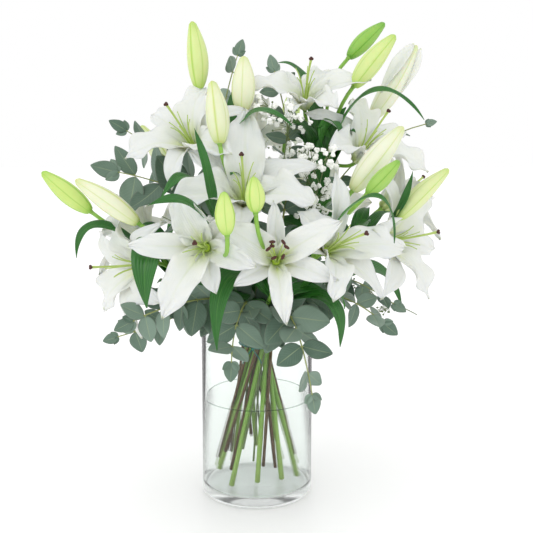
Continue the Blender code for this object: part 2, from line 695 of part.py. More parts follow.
def lily_stem_mesh(name, slot, foot, top):
    route = stem_route(slot, LILY_RING, foot, (top,), 8)
    radii = [LILY_STEM] * 2 + [LILY_STEM * (1 - 0.03 * i) for i in range(len(route) - 2)]
    bodies = [tube(route, radii, 1)]
    tie = spiral_point(slot, LILY_RING, TIE_HEIGHT)
    above = spiral_point(slot, LILY_RING, TIE_HEIGHT + 0.035)
    bend = Vector(top) - Vector((0.0, 0.0, 0.4)) * (top[2] - TIE_HEIGHT)
    for stem, share, first, second, tip, width in LONG_LEAVES:
        if stem == name:
            root = bezier((tie, above, bend, top), share)
            bodies.append(sheet(leaf_place((root, first, second, tip), width), 1, 5, LEAF_THICKNESS))
    return fuse(bodies)


def round_leaf_place(root, ahead, face, length):
    """A broad oval leaf, cupped a little, whose stalk end starts on the branch."""
    side = ahead.cross(face).normalized()
    normal = side.cross(ahead)

    def place(u, v):
        half = ROUND_LEAF_WIDTH * length * max(0.06, math.sin(math.pi * (0.02 + 0.95 * v**0.80))) ** 0.78
        sag = normal * length * (0.06 * u * u * v - 0.05 * v)
        return root + ahead * (length * v) + side * half * u + sag

    return place


def eucalyptus_mesh(slot, ring, foot, first, second, tip, pairs, leaf):
    """A thin branch with opposite leaves, turned to show from outside and above, and one leaf at its tip."""
    route = stem_route(slot, ring, foot, (first, second, tip), 8)
    radii = [BRANCH_STEM * (1 - 0.045 * i) for i in range(len(route))]
    bodies = [tube(route, radii)]
    leafy = route[-5:]
    for pair in range(pairs):
        share = (pair + 0.4) / pairs * (len(leafy) - 1)
        index = min(int(share), len(leafy) - 2)
        root = leafy[index].lerp(leafy[index + 1], share - index)
        ahead = (leafy[index + 1] - leafy[index]).normalized()
        outward = Vector((root.x, root.y, 0.0)).normalized()
        show = (outward * 0.5 + Vector((0.0, -0.6, 0.4))).normalized()
        across = ahead.cross(show).normalized()
        if pair % 2:
            across = (across * 0.55 + show * 0.65).normalized()
        size = leaf * (1.10 - 0.50 * pair / pairs)
        for way in (-1, 1):
            aim = (across * way + ahead * 0.45 - Vector((0.0, 0.0, 0.15))).normalized()
            face = show - aim * aim.dot(show)
            bodies.append(sheet(round_leaf_place(root, aim, face, size), 1, 2, LEAF_THICKNESS))
    end = (leafy[-1] - leafy[-2]).normalized()
    tip_place = round_leaf_place(route[-2], end, Vector(TIP_LEAF_FACES), leaf)
    bodies.append(sheet(tip_place, 1, 2, LEAF_THICKNESS))
    return fuse(bodies)


def floret(centre, size):
    form = bmesh.new()
    bmesh.ops.create_icosphere(form, subdivisions=1, radius=size, matrix=Matrix.Translation(centre))
    mesh = bpy.data.meshes.new("floret")
    form.to_mesh(mesh)
    form.free()
    return mesh


def gypsophila_mesh(slot, ring, foot, first, second, tip, twigs, spread, seed):
    """A forked spray: thin twigs off the last stretch of the stem, each ending in a small round floret."""
    rule = random.Random(seed)
    route = stem_route(slot, ring, foot, (first, second, tip), 8)
    bodies = [tube(route, [SPRAY_STEM] * len(route))]
    for i in range(twigs):
        share = (i + 0.5) / twigs * 4
        root = route[int(share) - 5].lerp(route[int(share) - 4], share - int(share))
        away = Vector([rule.uniform(-1, 1), rule.uniform(-1, 0.6), rule.uniform(-0.2, 1)]).normalized()
        end = root + away * spread * rule.uniform(0.6, 1.0)
        bodies.append(rod(root, end, TWIG))
        bodies.append(floret(end, FLORET))
    return fuse(bodies)


def inflated(mesh, distance):
    """A copy whose every vertex stands out along its normal."""
    copy = mesh.copy()
    form = bmesh.new()
    form.from_mesh(copy)
    form.normal_update()
    for corner in form.verts:
        corner.co += corner.normal * distance
    form.to_mesh(copy)
    form.free()
    return copy


def tree_of(mesh):
    mesh.calc_loop_triangles()
    return BVHTree.FromPolygons(
        [v.co.copy() for v in mesh.vertices], [tuple(t.vertices) for t in mesh.loop_triangles]
    )


def carve(mesh, placed):
    """Cuts away what would run into a piece already placed, with a gap, and keeps the main body."""
    own = tree_of(mesh)
    cutters = []
    for other in placed:
        wide = inflated(other, CUTTER_GROWTH)
        if own.overlap(tree_of(wide)):
            cutters.append(wide)
        else:
            bpy.data.meshes.remove(wide)
    return largest_island(combine(mesh, cutters, "DIFFERENCE")) if cutters else mesh


def finish(name, mesh, material):
    thing = new_object(name, mesh, BOUQUET)
    mesh.name = name
    mesh.materials.clear()
    mesh.materials.append(MATERIALS[material])
    mesh.shade_smooth()
    mesh.set_sharp_from_angle(angle=math.radians(50))
    return thing


def build_bouquet():
    """Blooms and buds first, then the stems and leaves that give way to them."""
    placed = []

    def place(name, mesh, material):
        mesh = carve(mesh, placed)
        placed.append(mesh)
        finish(name, mesh, material)

    place("vase", vase_mesh(), "glass")
    place("twine_tie", tie_mesh(), "twine")
    for name, bloom in BLOOMS.items():
        place(name, bloom_mesh(name, *bloom), "petal")
    for name, bud in BUDS.items():
        place(name, bud_mesh(*bud), "bud")
    for name, stem in LILY_STEMS.items():
        place(name, lily_stem_mesh(name, *stem), "stem")
    for name, branch in EUCALYPTUS.items():
        place(name, eucalyptus_mesh(*branch), "eucalyptus")
    for name, spray in GYPSOPHILA.items():
        place(name, gypsophila_mesh(*spray), "gypsophila")
    place("water", water_mesh(), "water")


clear_scene()
BOUQUET = new_collection("lilies_in_a_vase")
HELPERS = new_collection("helpers")
HELPERS.hide_render = True
MATERIALS = make_materials()
build_bouquet()
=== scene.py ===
"""White lilies, eucalyptus and gypsophila in a clear glass cylinder vase: the finished look."""
import math
import random

import bmesh
import bpy
import numpy as np
from mathutils import Matrix, Vector


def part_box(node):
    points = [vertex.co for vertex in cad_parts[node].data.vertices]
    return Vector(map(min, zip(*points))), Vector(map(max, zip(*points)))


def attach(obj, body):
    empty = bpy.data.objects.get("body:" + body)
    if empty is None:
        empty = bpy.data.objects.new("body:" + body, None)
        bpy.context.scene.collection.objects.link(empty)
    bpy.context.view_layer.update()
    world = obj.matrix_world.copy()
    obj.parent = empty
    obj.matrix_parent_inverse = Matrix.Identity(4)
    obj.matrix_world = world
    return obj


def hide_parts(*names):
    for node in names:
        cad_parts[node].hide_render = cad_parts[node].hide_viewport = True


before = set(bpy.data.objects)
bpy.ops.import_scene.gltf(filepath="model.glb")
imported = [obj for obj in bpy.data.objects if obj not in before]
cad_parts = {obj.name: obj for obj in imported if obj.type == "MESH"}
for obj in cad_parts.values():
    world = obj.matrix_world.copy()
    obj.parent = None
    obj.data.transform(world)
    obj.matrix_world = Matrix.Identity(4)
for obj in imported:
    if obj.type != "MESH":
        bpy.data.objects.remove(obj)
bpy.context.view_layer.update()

TAU = 2 * math.pi

# Camera
CAMERA_PLACE = (0.013, -1.09, 0.457)
CAMERA_TILT = math.radians(7.7)
CAMERA_LENS = 55.4

# The vase and its water, from the frame
VASE_LOW, VASE_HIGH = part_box("vase")
VASE_RADIUS = (VASE_HIGH[0] - VASE_LOW[0]) / 2
VASE_HEIGHT = VASE_HIGH[2]
WATER_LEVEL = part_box("water")[1][2]
VASE_WALL = 0.0038
VASE_FLOOR = 0.012
TIE_LOW, TIE_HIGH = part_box("twine_tie")
TIE_HEIGHT = (TIE_LOW[2] + TIE_HIGH[2]) / 2
TIE_TURNS = 4
TIE_RADIUS = 0.0238

# The spiral of stems through the tie
SPIRAL_SLOPE = 0.3
INNER_RING, LILY_RING, OUTER_RING = 0.0068, 0.014, 0.0205
FIRST_SLOT = math.radians(22)
SLOT_ANGLE = math.radians(36)

# The tables name each row without its family: "front" in BLOOMS is the node bloom_front

# Lily stem: slot, foot height, top
LILY_STEMS = {
    "back_left": (0, 0.03, (-0.055, 0.07, 0.37)),
    "left": (1, 0.024, (-0.112, -0.008, 0.3)),
    "upper_left": (2, 0.028, (-0.062, 0.0, 0.435)),
    "left_front": (3, 0.022, (-0.048, -0.1, 0.325)),
    "centre": (4, 0.04, (-0.01, -0.046, 0.372)),
    "front": (5, 0.02, (0.022, -0.108, 0.312)),
    "right_front": (6, 0.026, (0.066, -0.088, 0.318)),
    "right": (7, 0.034, (0.13, 0.0, 0.325)),
    "upper_right": (8, 0.022, (0.094, 0.032, 0.44)),
    "back_right": (9, 0.03, (0.062, 0.085, 0.36)),
}

# Open lily: stem, throat, facing, roll, tepal length, how far the tepals open (degrees)
BLOOMS = {
    "front": ("front", (0.025, -0.17, 0.342), (0.03, -1.0, 0.25), 57, 0.094, 96),
    "centre": ("centre", (-0.014, -0.1, 0.416), (0.02, -0.72, 0.7), 4, 0.112, 92),
    "upper_left": ("upper_left", (-0.087, -0.05, 0.483), (-0.3, -0.7, 0.65), 8, 0.098, 112),
    "left_front": ("left_front", (-0.06, -0.17, 0.355), (-0.12, -1.0, 0.15), -12, 0.104, 100),
    "left": ("left", (-0.156, -0.05, 0.318), (-0.8, -0.6, 0.0), 10, 0.11, 102),
    "right_front": ("right_front", (0.096, -0.14, 0.354), (0.5, -0.8, 0.4), -39, 0.106, 100),
    "right": ("right", (0.177, -0.05, 0.35), (0.78, -0.6, 0.15), 20, 0.106, 96),
    "upper_right": ("upper_right", (0.142, -0.01, 0.471), (0.38, -0.55, 0.74), 0, 0.104, 102),
    "top": ("upper_right", (0.064, 0.0, 0.542), (0.0, -0.62, 0.78), 28, 0.096, 92),
    "right_back": ("right", (0.195, 0.045, 0.4), (0.8, 0.25, 0.5), 0, 0.096, 90),
    "far_left": ("left", (-0.165, 0.06, 0.35), (-0.8, 0.35, 0.5), 0, 0.096, 94),
    "back_left": ("back_left", (-0.07, 0.145, 0.385), (-0.35, 0.9, 0.3), 5, 0.1, 98),
    "back_right": ("back_right", (0.085, 0.145, 0.38), (0.35, 0.9, 0.25), 20, 0.102, 98),
    "back_top": ("back_left", (-0.01, 0.095, 0.48), (-0.05, 0.6, 0.8), 0, 0.1, 96),
}
# For each tepal of a bloom: turn (degrees), extra opening (degrees), share of the length and of the width
TEPAL_SET = {
    "left_front": (
        (-10, 0, 0.76, 0.9), (2, -30, 0.62, 0.85), (0, 10, 0.74, 0.7),
        (0, 5, 0.6, 0.85), (-15, -6, 1.05, 0.92), (-14, 8, 1.0, 0.92),
    ),
    "front": (
        (0, 0, 1.06, 0.85), (-4, 0, 0.91, 0.95), (0, 0, 0.98, 0.68),
        (3, 6, 0.7, 0.85), (6, 0, 0.98, 0.95), (1, 14, 0.85, 0.7),
    ),
    "right_front": (
        (-14, 12, 0.66, 0.75), (-26, -8, 1.0, 0.8), (0, 0, 1.0, 0.95),
        (-5, 0, 0.92, 1.0), (-8, 0, 0.84, 0.75), (0, 0, 0.6, 0.8),
    ),
    "top": (
        (12, 16, 0.74, 0.9), (0, 0, 1.05, 1.15), (0, 0, 0.85, 0.9),
        (0, 0, 0.8, 0.8), (0, 0, 0.95, 0.9), (-12, 16, 0.76, 0.8),
    ),
    "centre": (
        (0, -26, 1.08, 1.08), (6, -8, 1.0, 1.3), (-8, 0, 1.02, 1.05),
        (0, 0, 0.8, 1.0), (0, 0, 1.0, 1.05), (0, -6, 0.92, 1.15),
    ),
}
PLAIN_SET = ((0, 0, 1.0, 1.0),) * 6
THROAT_DEPTH = 0.03
PISTIL = 0.92
# The one bloom that has kept its anthers. As shares of its tepals: how long its pistil is, how far its
# stamens reach and spread, and how far they all lean up
OPEN_STAMENS = "front"
OPEN_PISTIL, OPEN_REACH, OPEN_SPREAD, OPEN_RISE = 0.46, 0.46, 0.11, 0.09
CLAW_ANGLES = (26, 31)
TEPAL_WIDTHS = (0.041, 0.031)
TEPAL_THICKNESS = 0.0009
OUTER_OPENS_MORE = 8
CURVE_STEPS = 199

# Bud: stem, base, tip, width, ripeness from green 0 to white 1
BUDS = {
    "top_left": ("upper_left", (-0.075, 0.0, 0.544), (-0.083, 0.0, 0.628), 0.027, 0.5),
    "left_of_centre": ("centre", (-0.043, -0.1, 0.472), (-0.052, -0.09, 0.545), 0.028, 0.8),
    "centre_top": ("centre", (-0.018, -0.03, 0.512), (-0.016, -0.02, 0.582), 0.03, 0.85),
    "top_right_high": ("upper_right", (0.124, 0.04, 0.588), (0.172, 0.05, 0.634), 0.023, 0.05),
    "top_right_low": ("upper_right", (0.127, 0.0, 0.547), (0.179, 0.0, 0.611), 0.028, 0.48),
    "opening_right": ("upper_right", (0.158, 0.055, 0.508), (0.218, 0.062, 0.606), 0.03, 0.95),
    "right_white": ("right_front", (0.117, -0.1, 0.416), (0.177, -0.09, 0.491), 0.03, 0.9),
    "right_green": ("right_front", (0.131, -0.13, 0.413), (0.167, -0.13, 0.451), 0.02, 0.12),
    "right_edge": ("right", (0.178, -0.07, 0.38), (0.24, -0.06, 0.44), 0.024, 0.64),
    "left_edge": ("left", (-0.215, -0.03, 0.386), (-0.275, -0.03, 0.436), 0.026, 0.33),
    "left_white": ("left", (-0.146, -0.08, 0.375), (-0.223, -0.07, 0.427), 0.026, 0.85),
    "front_left": ("left_front", (-0.03, -0.2, 0.372), (-0.033, -0.2, 0.418), 0.022, 0.4),
    "front_right": ("front", (0.001, -0.19, 0.396), (-0.001, -0.19, 0.434), 0.022, 0.4),
    "back_high": ("back_right", (0.04, 0.11, 0.48), (0.06, 0.135, 0.565), 0.026, 0.5),
    "back_left": ("back_left", (-0.12, 0.1, 0.43), (-0.17, 0.125, 0.5), 0.026, 0.75),
}

# The bud whose tips have begun to part
OPENING_BUD = "opening_right"

# Long leaves of a stem: share of the way up from tie to top, two guide points, tip, width
LONG_LEAVES = {
    "centre": (
        (0.97, (-0.06, -0.02, 0.48), (-0.005, -0.11, 0.545), (0.043, -0.12, 0.491), 0.018),
        (0.8, (-0.03, -0.02, 0.44), (-0.045, -0.01, 0.5), (-0.022, 0.0, 0.56), 0.024),
    ),
    "left_front": (
        (0.95, (-0.045, -0.15, 0.41), (-0.055, -0.17, 0.452), (-0.068, -0.16, 0.488), 0.016),
        (0.85, (-0.046, -0.185, 0.418), (-0.087, -0.195, 0.418), (-0.116, -0.2, 0.403), 0.017),
    ),
    "upper_left": (
        (0.75, (-0.07, -0.09, 0.455), (-0.092, -0.12, 0.44), (-0.111, -0.13, 0.406), 0.02),
    ),
    "left": (
        (0.7, (-0.11, -0.115, 0.392), (-0.132, -0.18, 0.362), (-0.125, -0.16, 0.283), 0.05),
        (0.9, (-0.19, -0.045, 0.4), (-0.225, -0.075, 0.38), (-0.225, -0.07, 0.33), 0.016),
    ),
    "front": (
        (0.75, (-0.024, -0.13, 0.352), (-0.052, -0.152, 0.312), (-0.044, -0.166, 0.234), 0.03),
        (0.45, (0.08, -0.14, 0.32), (0.105, -0.15, 0.29), (0.101, -0.13, 0.23), 0.026),
    ),
    "right_front": (
        (0.7, (0.08, -0.16, 0.345), (0.096, -0.175, 0.32), (0.104, -0.15, 0.28), 0.02),
        (0.95, (0.105, -0.15, 0.43), (0.158, -0.185, 0.44), (0.16, -0.15, 0.357), 0.014),
    ),
    "right": (
        (0.95, (0.17, -0.07, 0.36), (0.185, -0.08, 0.4), (0.192, -0.08, 0.438), 0.015),
        (0.6, (0.14, 0.05, 0.32), (0.19, 0.08, 0.31), (0.21, 0.09, 0.24), 0.026),
    ),
    "upper_right": (
        (0.95, (0.11, -0.03, 0.56), (0.17, -0.05, 0.56), (0.21, -0.05, 0.501), 0.015),
        (0.8, (0.08, 0.0, 0.52), (0.1, -0.03, 0.52), (0.112, -0.04, 0.47), 0.022),
        (0.97, (0.08, 0.046, 0.535), (0.062, 0.05, 0.59), (0.026, 0.042, 0.58), 0.026),
        (0.7, (0.075, 0.01, 0.42), (0.095, 0.0, 0.5), (0.118, 0.01, 0.52), 0.03),
    ),
    "back_left": (
        (0.85, (-0.08, 0.11, 0.43), (-0.13, 0.15, 0.4), (-0.14, 0.16, 0.31), 0.028),
        (0.55, (-0.03, 0.13, 0.33), (-0.02, 0.19, 0.32), (-0.015, 0.19, 0.23), 0.026),
    ),
    "back_right": (
        (0.85, (0.07, 0.13, 0.43), (0.09, 0.18, 0.42), (0.13, 0.19, 0.34), 0.026),
    ),
}

LEAF_THICKNESS = 0.0007
LEAST_HALF_WIDTH = 0.0022
STEM_RADIUS = 0.0034

# Short leaves low on every lily stem, and the whorl at the top of some
SHORT_LEAVES = 5
GOLDEN_ANGLE = math.radians(137.5)
WHORLS = {
    "upper_right": 8,
    "upper_left": 4,
    "centre": 4,
    "right": 4,
    "left": 3,
    "back_left": 5,
    "back_right": 5,
}

# Eucalyptus: slot, ring, foot height, two guide points, tip, leaf pairs, leaf length
EUCALYPTUS = {
    "left_high": (
        2, OUTER_RING, 0.06,
        (-0.06, 0.03, 0.37), (-0.13, 0.005, 0.425), (-0.182, 0.005, 0.435), 3, 0.074,
    ),
    "left_upright": (
        1, OUTER_RING, 0.05,
        (-0.06, 0.065, 0.38), (-0.112, 0.056, 0.448), (-0.176, 0.038, 0.49), 3, 0.054,
    ),
    "top": (0, INNER_RING, 0.045, (-0.05, 0.05, 0.4), (-0.05, 0.045, 0.52), (-0.026, 0.04, 0.59), 4, 0.044),
    "left_low": (
        3, OUTER_RING, 0.085,
        (-0.045, -0.06, 0.275), (-0.105, -0.1, 0.28), (-0.148, -0.11, 0.258), 4, 0.052,
    ),
    "left_trailing": (
        2, INNER_RING, 0.07,
        (-0.06, -0.026, 0.26), (-0.122, -0.056, 0.242), (-0.176, -0.064, 0.228), 3, 0.04,
    ),
    "front_left": (
        4, OUTER_RING, 0.055,
        (-0.012, -0.085, 0.276), (-0.028, -0.128, 0.264), (-0.029, -0.13, 0.212), 3, 0.05,
    ),
    "front_drooping": (
        5, OUTER_RING, 0.036,
        (0.028, -0.085, 0.266), (0.05, -0.153, 0.272), (0.067, -0.146, 0.177), 4, 0.052,
    ),
    "right_low": (
        6, OUTER_RING, 0.04,
        (0.06, -0.06, 0.28), (0.115, -0.1, 0.292), (0.154, -0.11, 0.256), 4, 0.046,
    ),
    "right_back": (
        7, OUTER_RING, 0.06, (0.09, 0.0, 0.29), (0.14, 0.0, 0.29), (0.18, -0.025, 0.264), 3, 0.04,
    ),
    "right_tip": (
        8, INNER_RING, 0.04, (0.08, 0.07, 0.36), (0.13, 0.09, 0.475), (0.232, 0.055, 0.5), 3, 0.03,
    ),
    "centre": (
        7, INNER_RING, 0.055, (0.04, 0.02, 0.4), (0.05, 0.03, 0.48), (0.024, 0.034, 0.568), 4, 0.046,
    ),
    "back": (9, OUTER_RING, 0.05, (0.02, 0.09, 0.3), (0.03, 0.17, 0.32), (0.04, 0.2, 0.26), 4, 0.044),
}

ROUND_LEAF_THICKNESS = 0.0006
LEAFY_POINTS = 22

FLORETS_PER_TWIG = 15
FLOWERY_POINTS = 18
# The spray that is mostly in bud, and how large a share of the flowers is in bud there and elsewhere
BUDDING_SPRAY = "low_right"
MANY_BUDS, FEW_BUDS = 0.85, 0.22

# Gypsophila: slot, ring, foot height, two guide points, tip, twigs, spread of the twigs, seed
GYPSOPHILA = {
    "centre": (
        4, INNER_RING, 0.06,
        (0.02, -0.02, 0.38), (0.04, -0.04, 0.45), (0.04, -0.035, 0.52), 8, 0.05, 3,
    ),
    "right": (
        6, INNER_RING, 0.05,
        (0.06, -0.02, 0.36), (0.08, -0.06, 0.42), (0.09, -0.07, 0.47), 8, 0.045, 5,
    ),
    "low_right": (
        8, OUTER_RING, 0.07,
        (0.09, 0.03, 0.265), (0.16, 0.035, 0.272), (0.22, 0.02, 0.24), 6, 0.03, 8,
    ),
    "left": (
        3, INNER_RING, 0.065,
        (-0.04, -0.05, 0.33), (-0.085, -0.1, 0.37), (-0.112, -0.11, 0.385), 5, 0.032, 14,
    ),
    "front": (
        5, INNER_RING, 0.055,
        (0.0, -0.06, 0.3), (-0.008, -0.11, 0.335), (-0.02, -0.135, 0.35), 4, 0.028, 21,
    ),
    "back": (9, INNER_RING, 0.055, (0.0, 0.08, 0.38), (0.01, 0.12, 0.44), (0.01, 0.14, 0.5), 6, 0.05, 11),
}


# ---- shapes

class Form:
    """The meshes of one piece. Each point has marks (along, across, tone) that its material reads."""

    def __init__(self):
        self.points = []
        self.faces = []
        self.marks = []
        self.slots = []
        self.count = 0

    def add(self, points, faces, marks, slot):
        points = np.asarray(points, float).reshape(-1, 3)
        marks = np.broadcast_to(np.asarray(marks, float), points.shape)
        self.points.append(points)
        self.marks.append(marks)
        self.faces += [tuple(corner + self.count for corner in face) for face in faces]
        self.slots += [slot] * len(faces)
        self.count += len(points)

    def finish(self, name, materials, replaced):
        mesh = bpy.data.meshes.new(name)
        mesh.from_pydata(np.concatenate(self.points).tolist(), [], self.faces)
        grain = mesh.attributes.new("grain", "FLOAT_VECTOR", "POINT")
        grain.data.foreach_set("vector", np.concatenate(self.marks).astype(np.float32).ravel())
        for material in materials:
            mesh.materials.append(MATERIALS[material])
        mesh.polygons.foreach_set("material_index", self.slots)
        mesh.shade_smooth()
        mesh.validate()
        piece = bpy.data.objects.new(name, mesh)
        bpy.context.scene.collection.objects.link(piece)
        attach(piece, "root")
        if replaced:
            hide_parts(replaced)
        return piece


def lattice_faces(rows, columns, start=0, flip=False):
    faces = []
    for r in range(rows - 1):
        for c in range(columns - 1):
            a = start + r * columns + c
            face = (a, a + 1, a + columns + 1, a + columns)
            faces.append(face[::-1] if flip else face)
    return faces


def slab(form, grid, marks, thickness, slot, back_tone=None):
    """A thin closed sheet from a grid of points, thinner towards its edges."""
    rows, columns = grid.shape[:2]
    down = np.gradient(grid, axis=0)
    over = np.gradient(grid, axis=1)
    normal = np.cross(over, down)
    normal /= np.linalg.norm(normal, axis=2, keepdims=True) + 1e-12
    u = np.linspace(-1, 1, columns)[None, :, None]
    v = np.linspace(-1, 1, rows)[:, None, None]
    depth = thickness * (1 - 0.75 * np.maximum(abs(u) ** 6, abs(v) ** 12))
    top = grid + normal * depth / 2
    bottom = grid - normal * depth / 2
    total = rows * columns
    faces = lattice_faces(rows, columns) + lattice_faces(rows, columns, total, True)
    rim = [(0, c) for c in range(columns)] + [(r, columns - 1) for r in range(1, rows)]
    rim += [(rows - 1, c) for c in range(columns - 2, -1, -1)] + [(r, 0) for r in range(rows - 2, 0, -1)]
    ring = [r * columns + c for r, c in rim]
    for a, b in zip(ring, ring[1:] + ring[:1]):
        faces.append((b, a, a + total, b + total))
    below = marks.copy()
    if back_tone is not None:
        below[..., 2] = back_tone
    form.add(
        np.concatenate([top.reshape(-1, 3), bottom.reshape(-1, 3)]),
        faces,
        np.concatenate([marks.reshape(-1, 3), below.reshape(-1, 3)]),
        slot,
    )


def tube(form, points, radii, sides, slot, tone=0.0, ribs=None):
    """A closed tube with rounded ends along the points; ribs(angle, share) scales its radius."""
    points = np.asarray([tuple(p) for p in points], float)
    radii = np.broadcast_to(np.asarray(radii, float), (len(points),))
    ahead = np.gradient(points, axis=0)
    ahead /= np.linalg.norm(ahead, axis=1, keepdims=True) + 1e-12
    side = np.cross(ahead[0], (0.0, 0.0, 1.0))
    if np.linalg.norm(side) < 1e-3:
        side = np.array([1.0, 0.0, 0.0])
    angles = np.linspace(0, TAU, sides, endpoint=False)
    rings, marks = [], []
    for i, (place, radius) in enumerate(zip(points, radii)):
        side = side - ahead[i] * side.dot(ahead[i])
        side /= np.linalg.norm(side)
        other = np.cross(ahead[i], side)
        share = i / (len(points) - 1)
        size = radius * (ribs(angles, share) if ribs else np.ones(sides))
        ring = np.cos(angles)[:, None] * side + np.sin(angles)[:, None] * other
        rings.append(place + size[:, None] * ring)
        marks.append(np.stack([np.full(sides, share), angles / TAU, np.full(sides, tone)], 1))
    count = len(points)
    ends = [points[0] - ahead[0] * radii[0] * 0.4, points[-1] + ahead[-1] * radii[-1] * 0.4]
    body = np.concatenate([*rings, ends])
    faces = []
    for r in range(count - 1):
        for k in range(sides):
            n = (k + 1) % sides
            faces.append((r * sides + k, r * sides + n, (r + 1) * sides + n, (r + 1) * sides + k))
    for k in range(sides):
        n = (k + 1) % sides
        faces.append((n, k, count * sides))
        faces.append(((count - 1) * sides + k, (count - 1) * sides + n, count * sides + 1))
    marks = np.concatenate([*marks, [[0.0, 0.0, tone], [1.0, 0.0, tone]]])
    form.add(body, faces, marks, slot)


def blob(form, centre, size, slot, tone=0.0, rule=None, stretch=None, detail=2):
    """A small closed ball, made lumpy where a rule of chance is given, or stretched along a vector."""
    points, faces = BALLS[detail]
    points = points.copy()
    if rule:
        points *= np.array([rule.uniform(0.72, 1.12) for _ in points])[:, None]
    points *= size
    if stretch is not None:
        along = np.asarray(stretch, float)
        long = np.linalg.norm(along)
        points += np.outer(points @ (along / long) / size, along - along / long * size)
    form.add(points + np.asarray(tuple(centre), float), faces, (0.5, 0.0, tone), slot)


def make_ball(detail):
    ball = bmesh.new()
    bmesh.ops.create_icosphere(ball, subdivisions=detail, radius=1.0)
    points = np.array([v.co[:] for v in ball.verts])
    faces = [tuple(v.index for v in f.verts) for f in ball.faces]
    ball.free()
    return points, faces


BALLS = {detail: make_ball(detail) for detail in (1, 2)}


def smooth(t):
    t = np.clip(t, 0.0, 1.0)
    return t * t * (3 - 2 * t)


def bezier(points, t):
    a, b, c, d = (Vector(p) for p in points)
    s = 1 - t
    return a * s**3 + b * 3 * s * s * t + c * 3 * s * t * t + d * t**3


def bezier_run(points, steps):
    return [bezier(points, i / steps) for i in range(steps + 1)]


# ---- stems

def spiral_point(slot, ring, height):
    """Where the stem of this slot is at this height; every stem lies on the same family of straight lines."""
    angle = FIRST_SLOT + SLOT_ANGLE * slot
    out = Vector((math.cos(angle), math.sin(angle), 0.0)) * ring
    round_about = Vector((-math.sin(angle), math.cos(angle), 0.0))
    return out + round_about * SPIRAL_SLOPE * (height - TIE_HEIGHT) + Vector((0.0, 0.0, height))


def stem_curves(slot, ring, guides):
    """The Bezier stretches above the tie."""
    tie = spiral_point(slot, ring, TIE_HEIGHT)
    above = spiral_point(slot, ring, TIE_HEIGHT + 0.035)
    first = Vector(guides[0])
    if len(guides) == 1:
        bend = first - Vector((0.0, 0.0, 0.4)) * (guides[0][2] - TIE_HEIGHT)
        return [(tie, above, bend, first)]
    lead = first + (first - above) * 0.25
    return [
        (tie, above, above.lerp(first, 0.6), first),
        (first, lead, Vector(guides[1]), Vector(guides[2])),
    ]


def stem_route(slot, ring, foot, guides, steps):
    """Straight from the foot to the tie, then a smooth curve through the guide points to the tip."""
    low = [spiral_point(slot, ring, foot + (TIE_HEIGHT - foot) * i / 10) for i in range(10)]
    curves = stem_curves(slot, ring, guides)
    route = low + bezier_run(curves[0], steps)
    for curve in curves[1:]:
        route += bezier_run(curve, steps)[1:]
    return route


def pedicel(stem_top, base, facing, steps=10):
    base, stem_top = Vector(base), Vector(stem_top)
    way = (base - stem_top).normalized()
    start = stem_top + way * 0.001
    rise = Vector((way.x * 0.3, way.y * 0.3, 1.0)) * 0.25 * (base - start).length
    back = base - Vector(facing).normalized() * 0.4 * (base - start).length
    return bezier_run((start, start + rise, back, base), steps)


# ---- lilies

def bloom_frame(base, facing):
    """Local Z is the bloom's axis and local X the side that looks highest, so clock 0 is up."""
    axis = Vector(facing).normalized()
    up = Vector((0.0, 0.5, 1.0))
    up = (up - axis * up.dot(axis)).normalized()
    left = axis.cross(up)
    made = Matrix((up, left, axis)).transposed().to_4x4()
    made.translation = base
    return made


def tepal_shape(v, inner):
    """Share of the full half width: narrow at the claw, widest past the middle, pointed at the tip."""
    rise = 0.46 + 0.54 * smooth(v / 0.48)
    fall = 1 - np.clip((v - 0.5) / 0.5, 0, 1) ** (2.3 if inner else 1.9)
    return np.where(v < 0.5, rise, np.maximum(fall, 0.012))


def running_sum(values):
    """The area under the values up to each one, in steps of 1."""
    return np.concatenate([[0], np.cumsum((values[1:] + values[:-1]) / 2)])


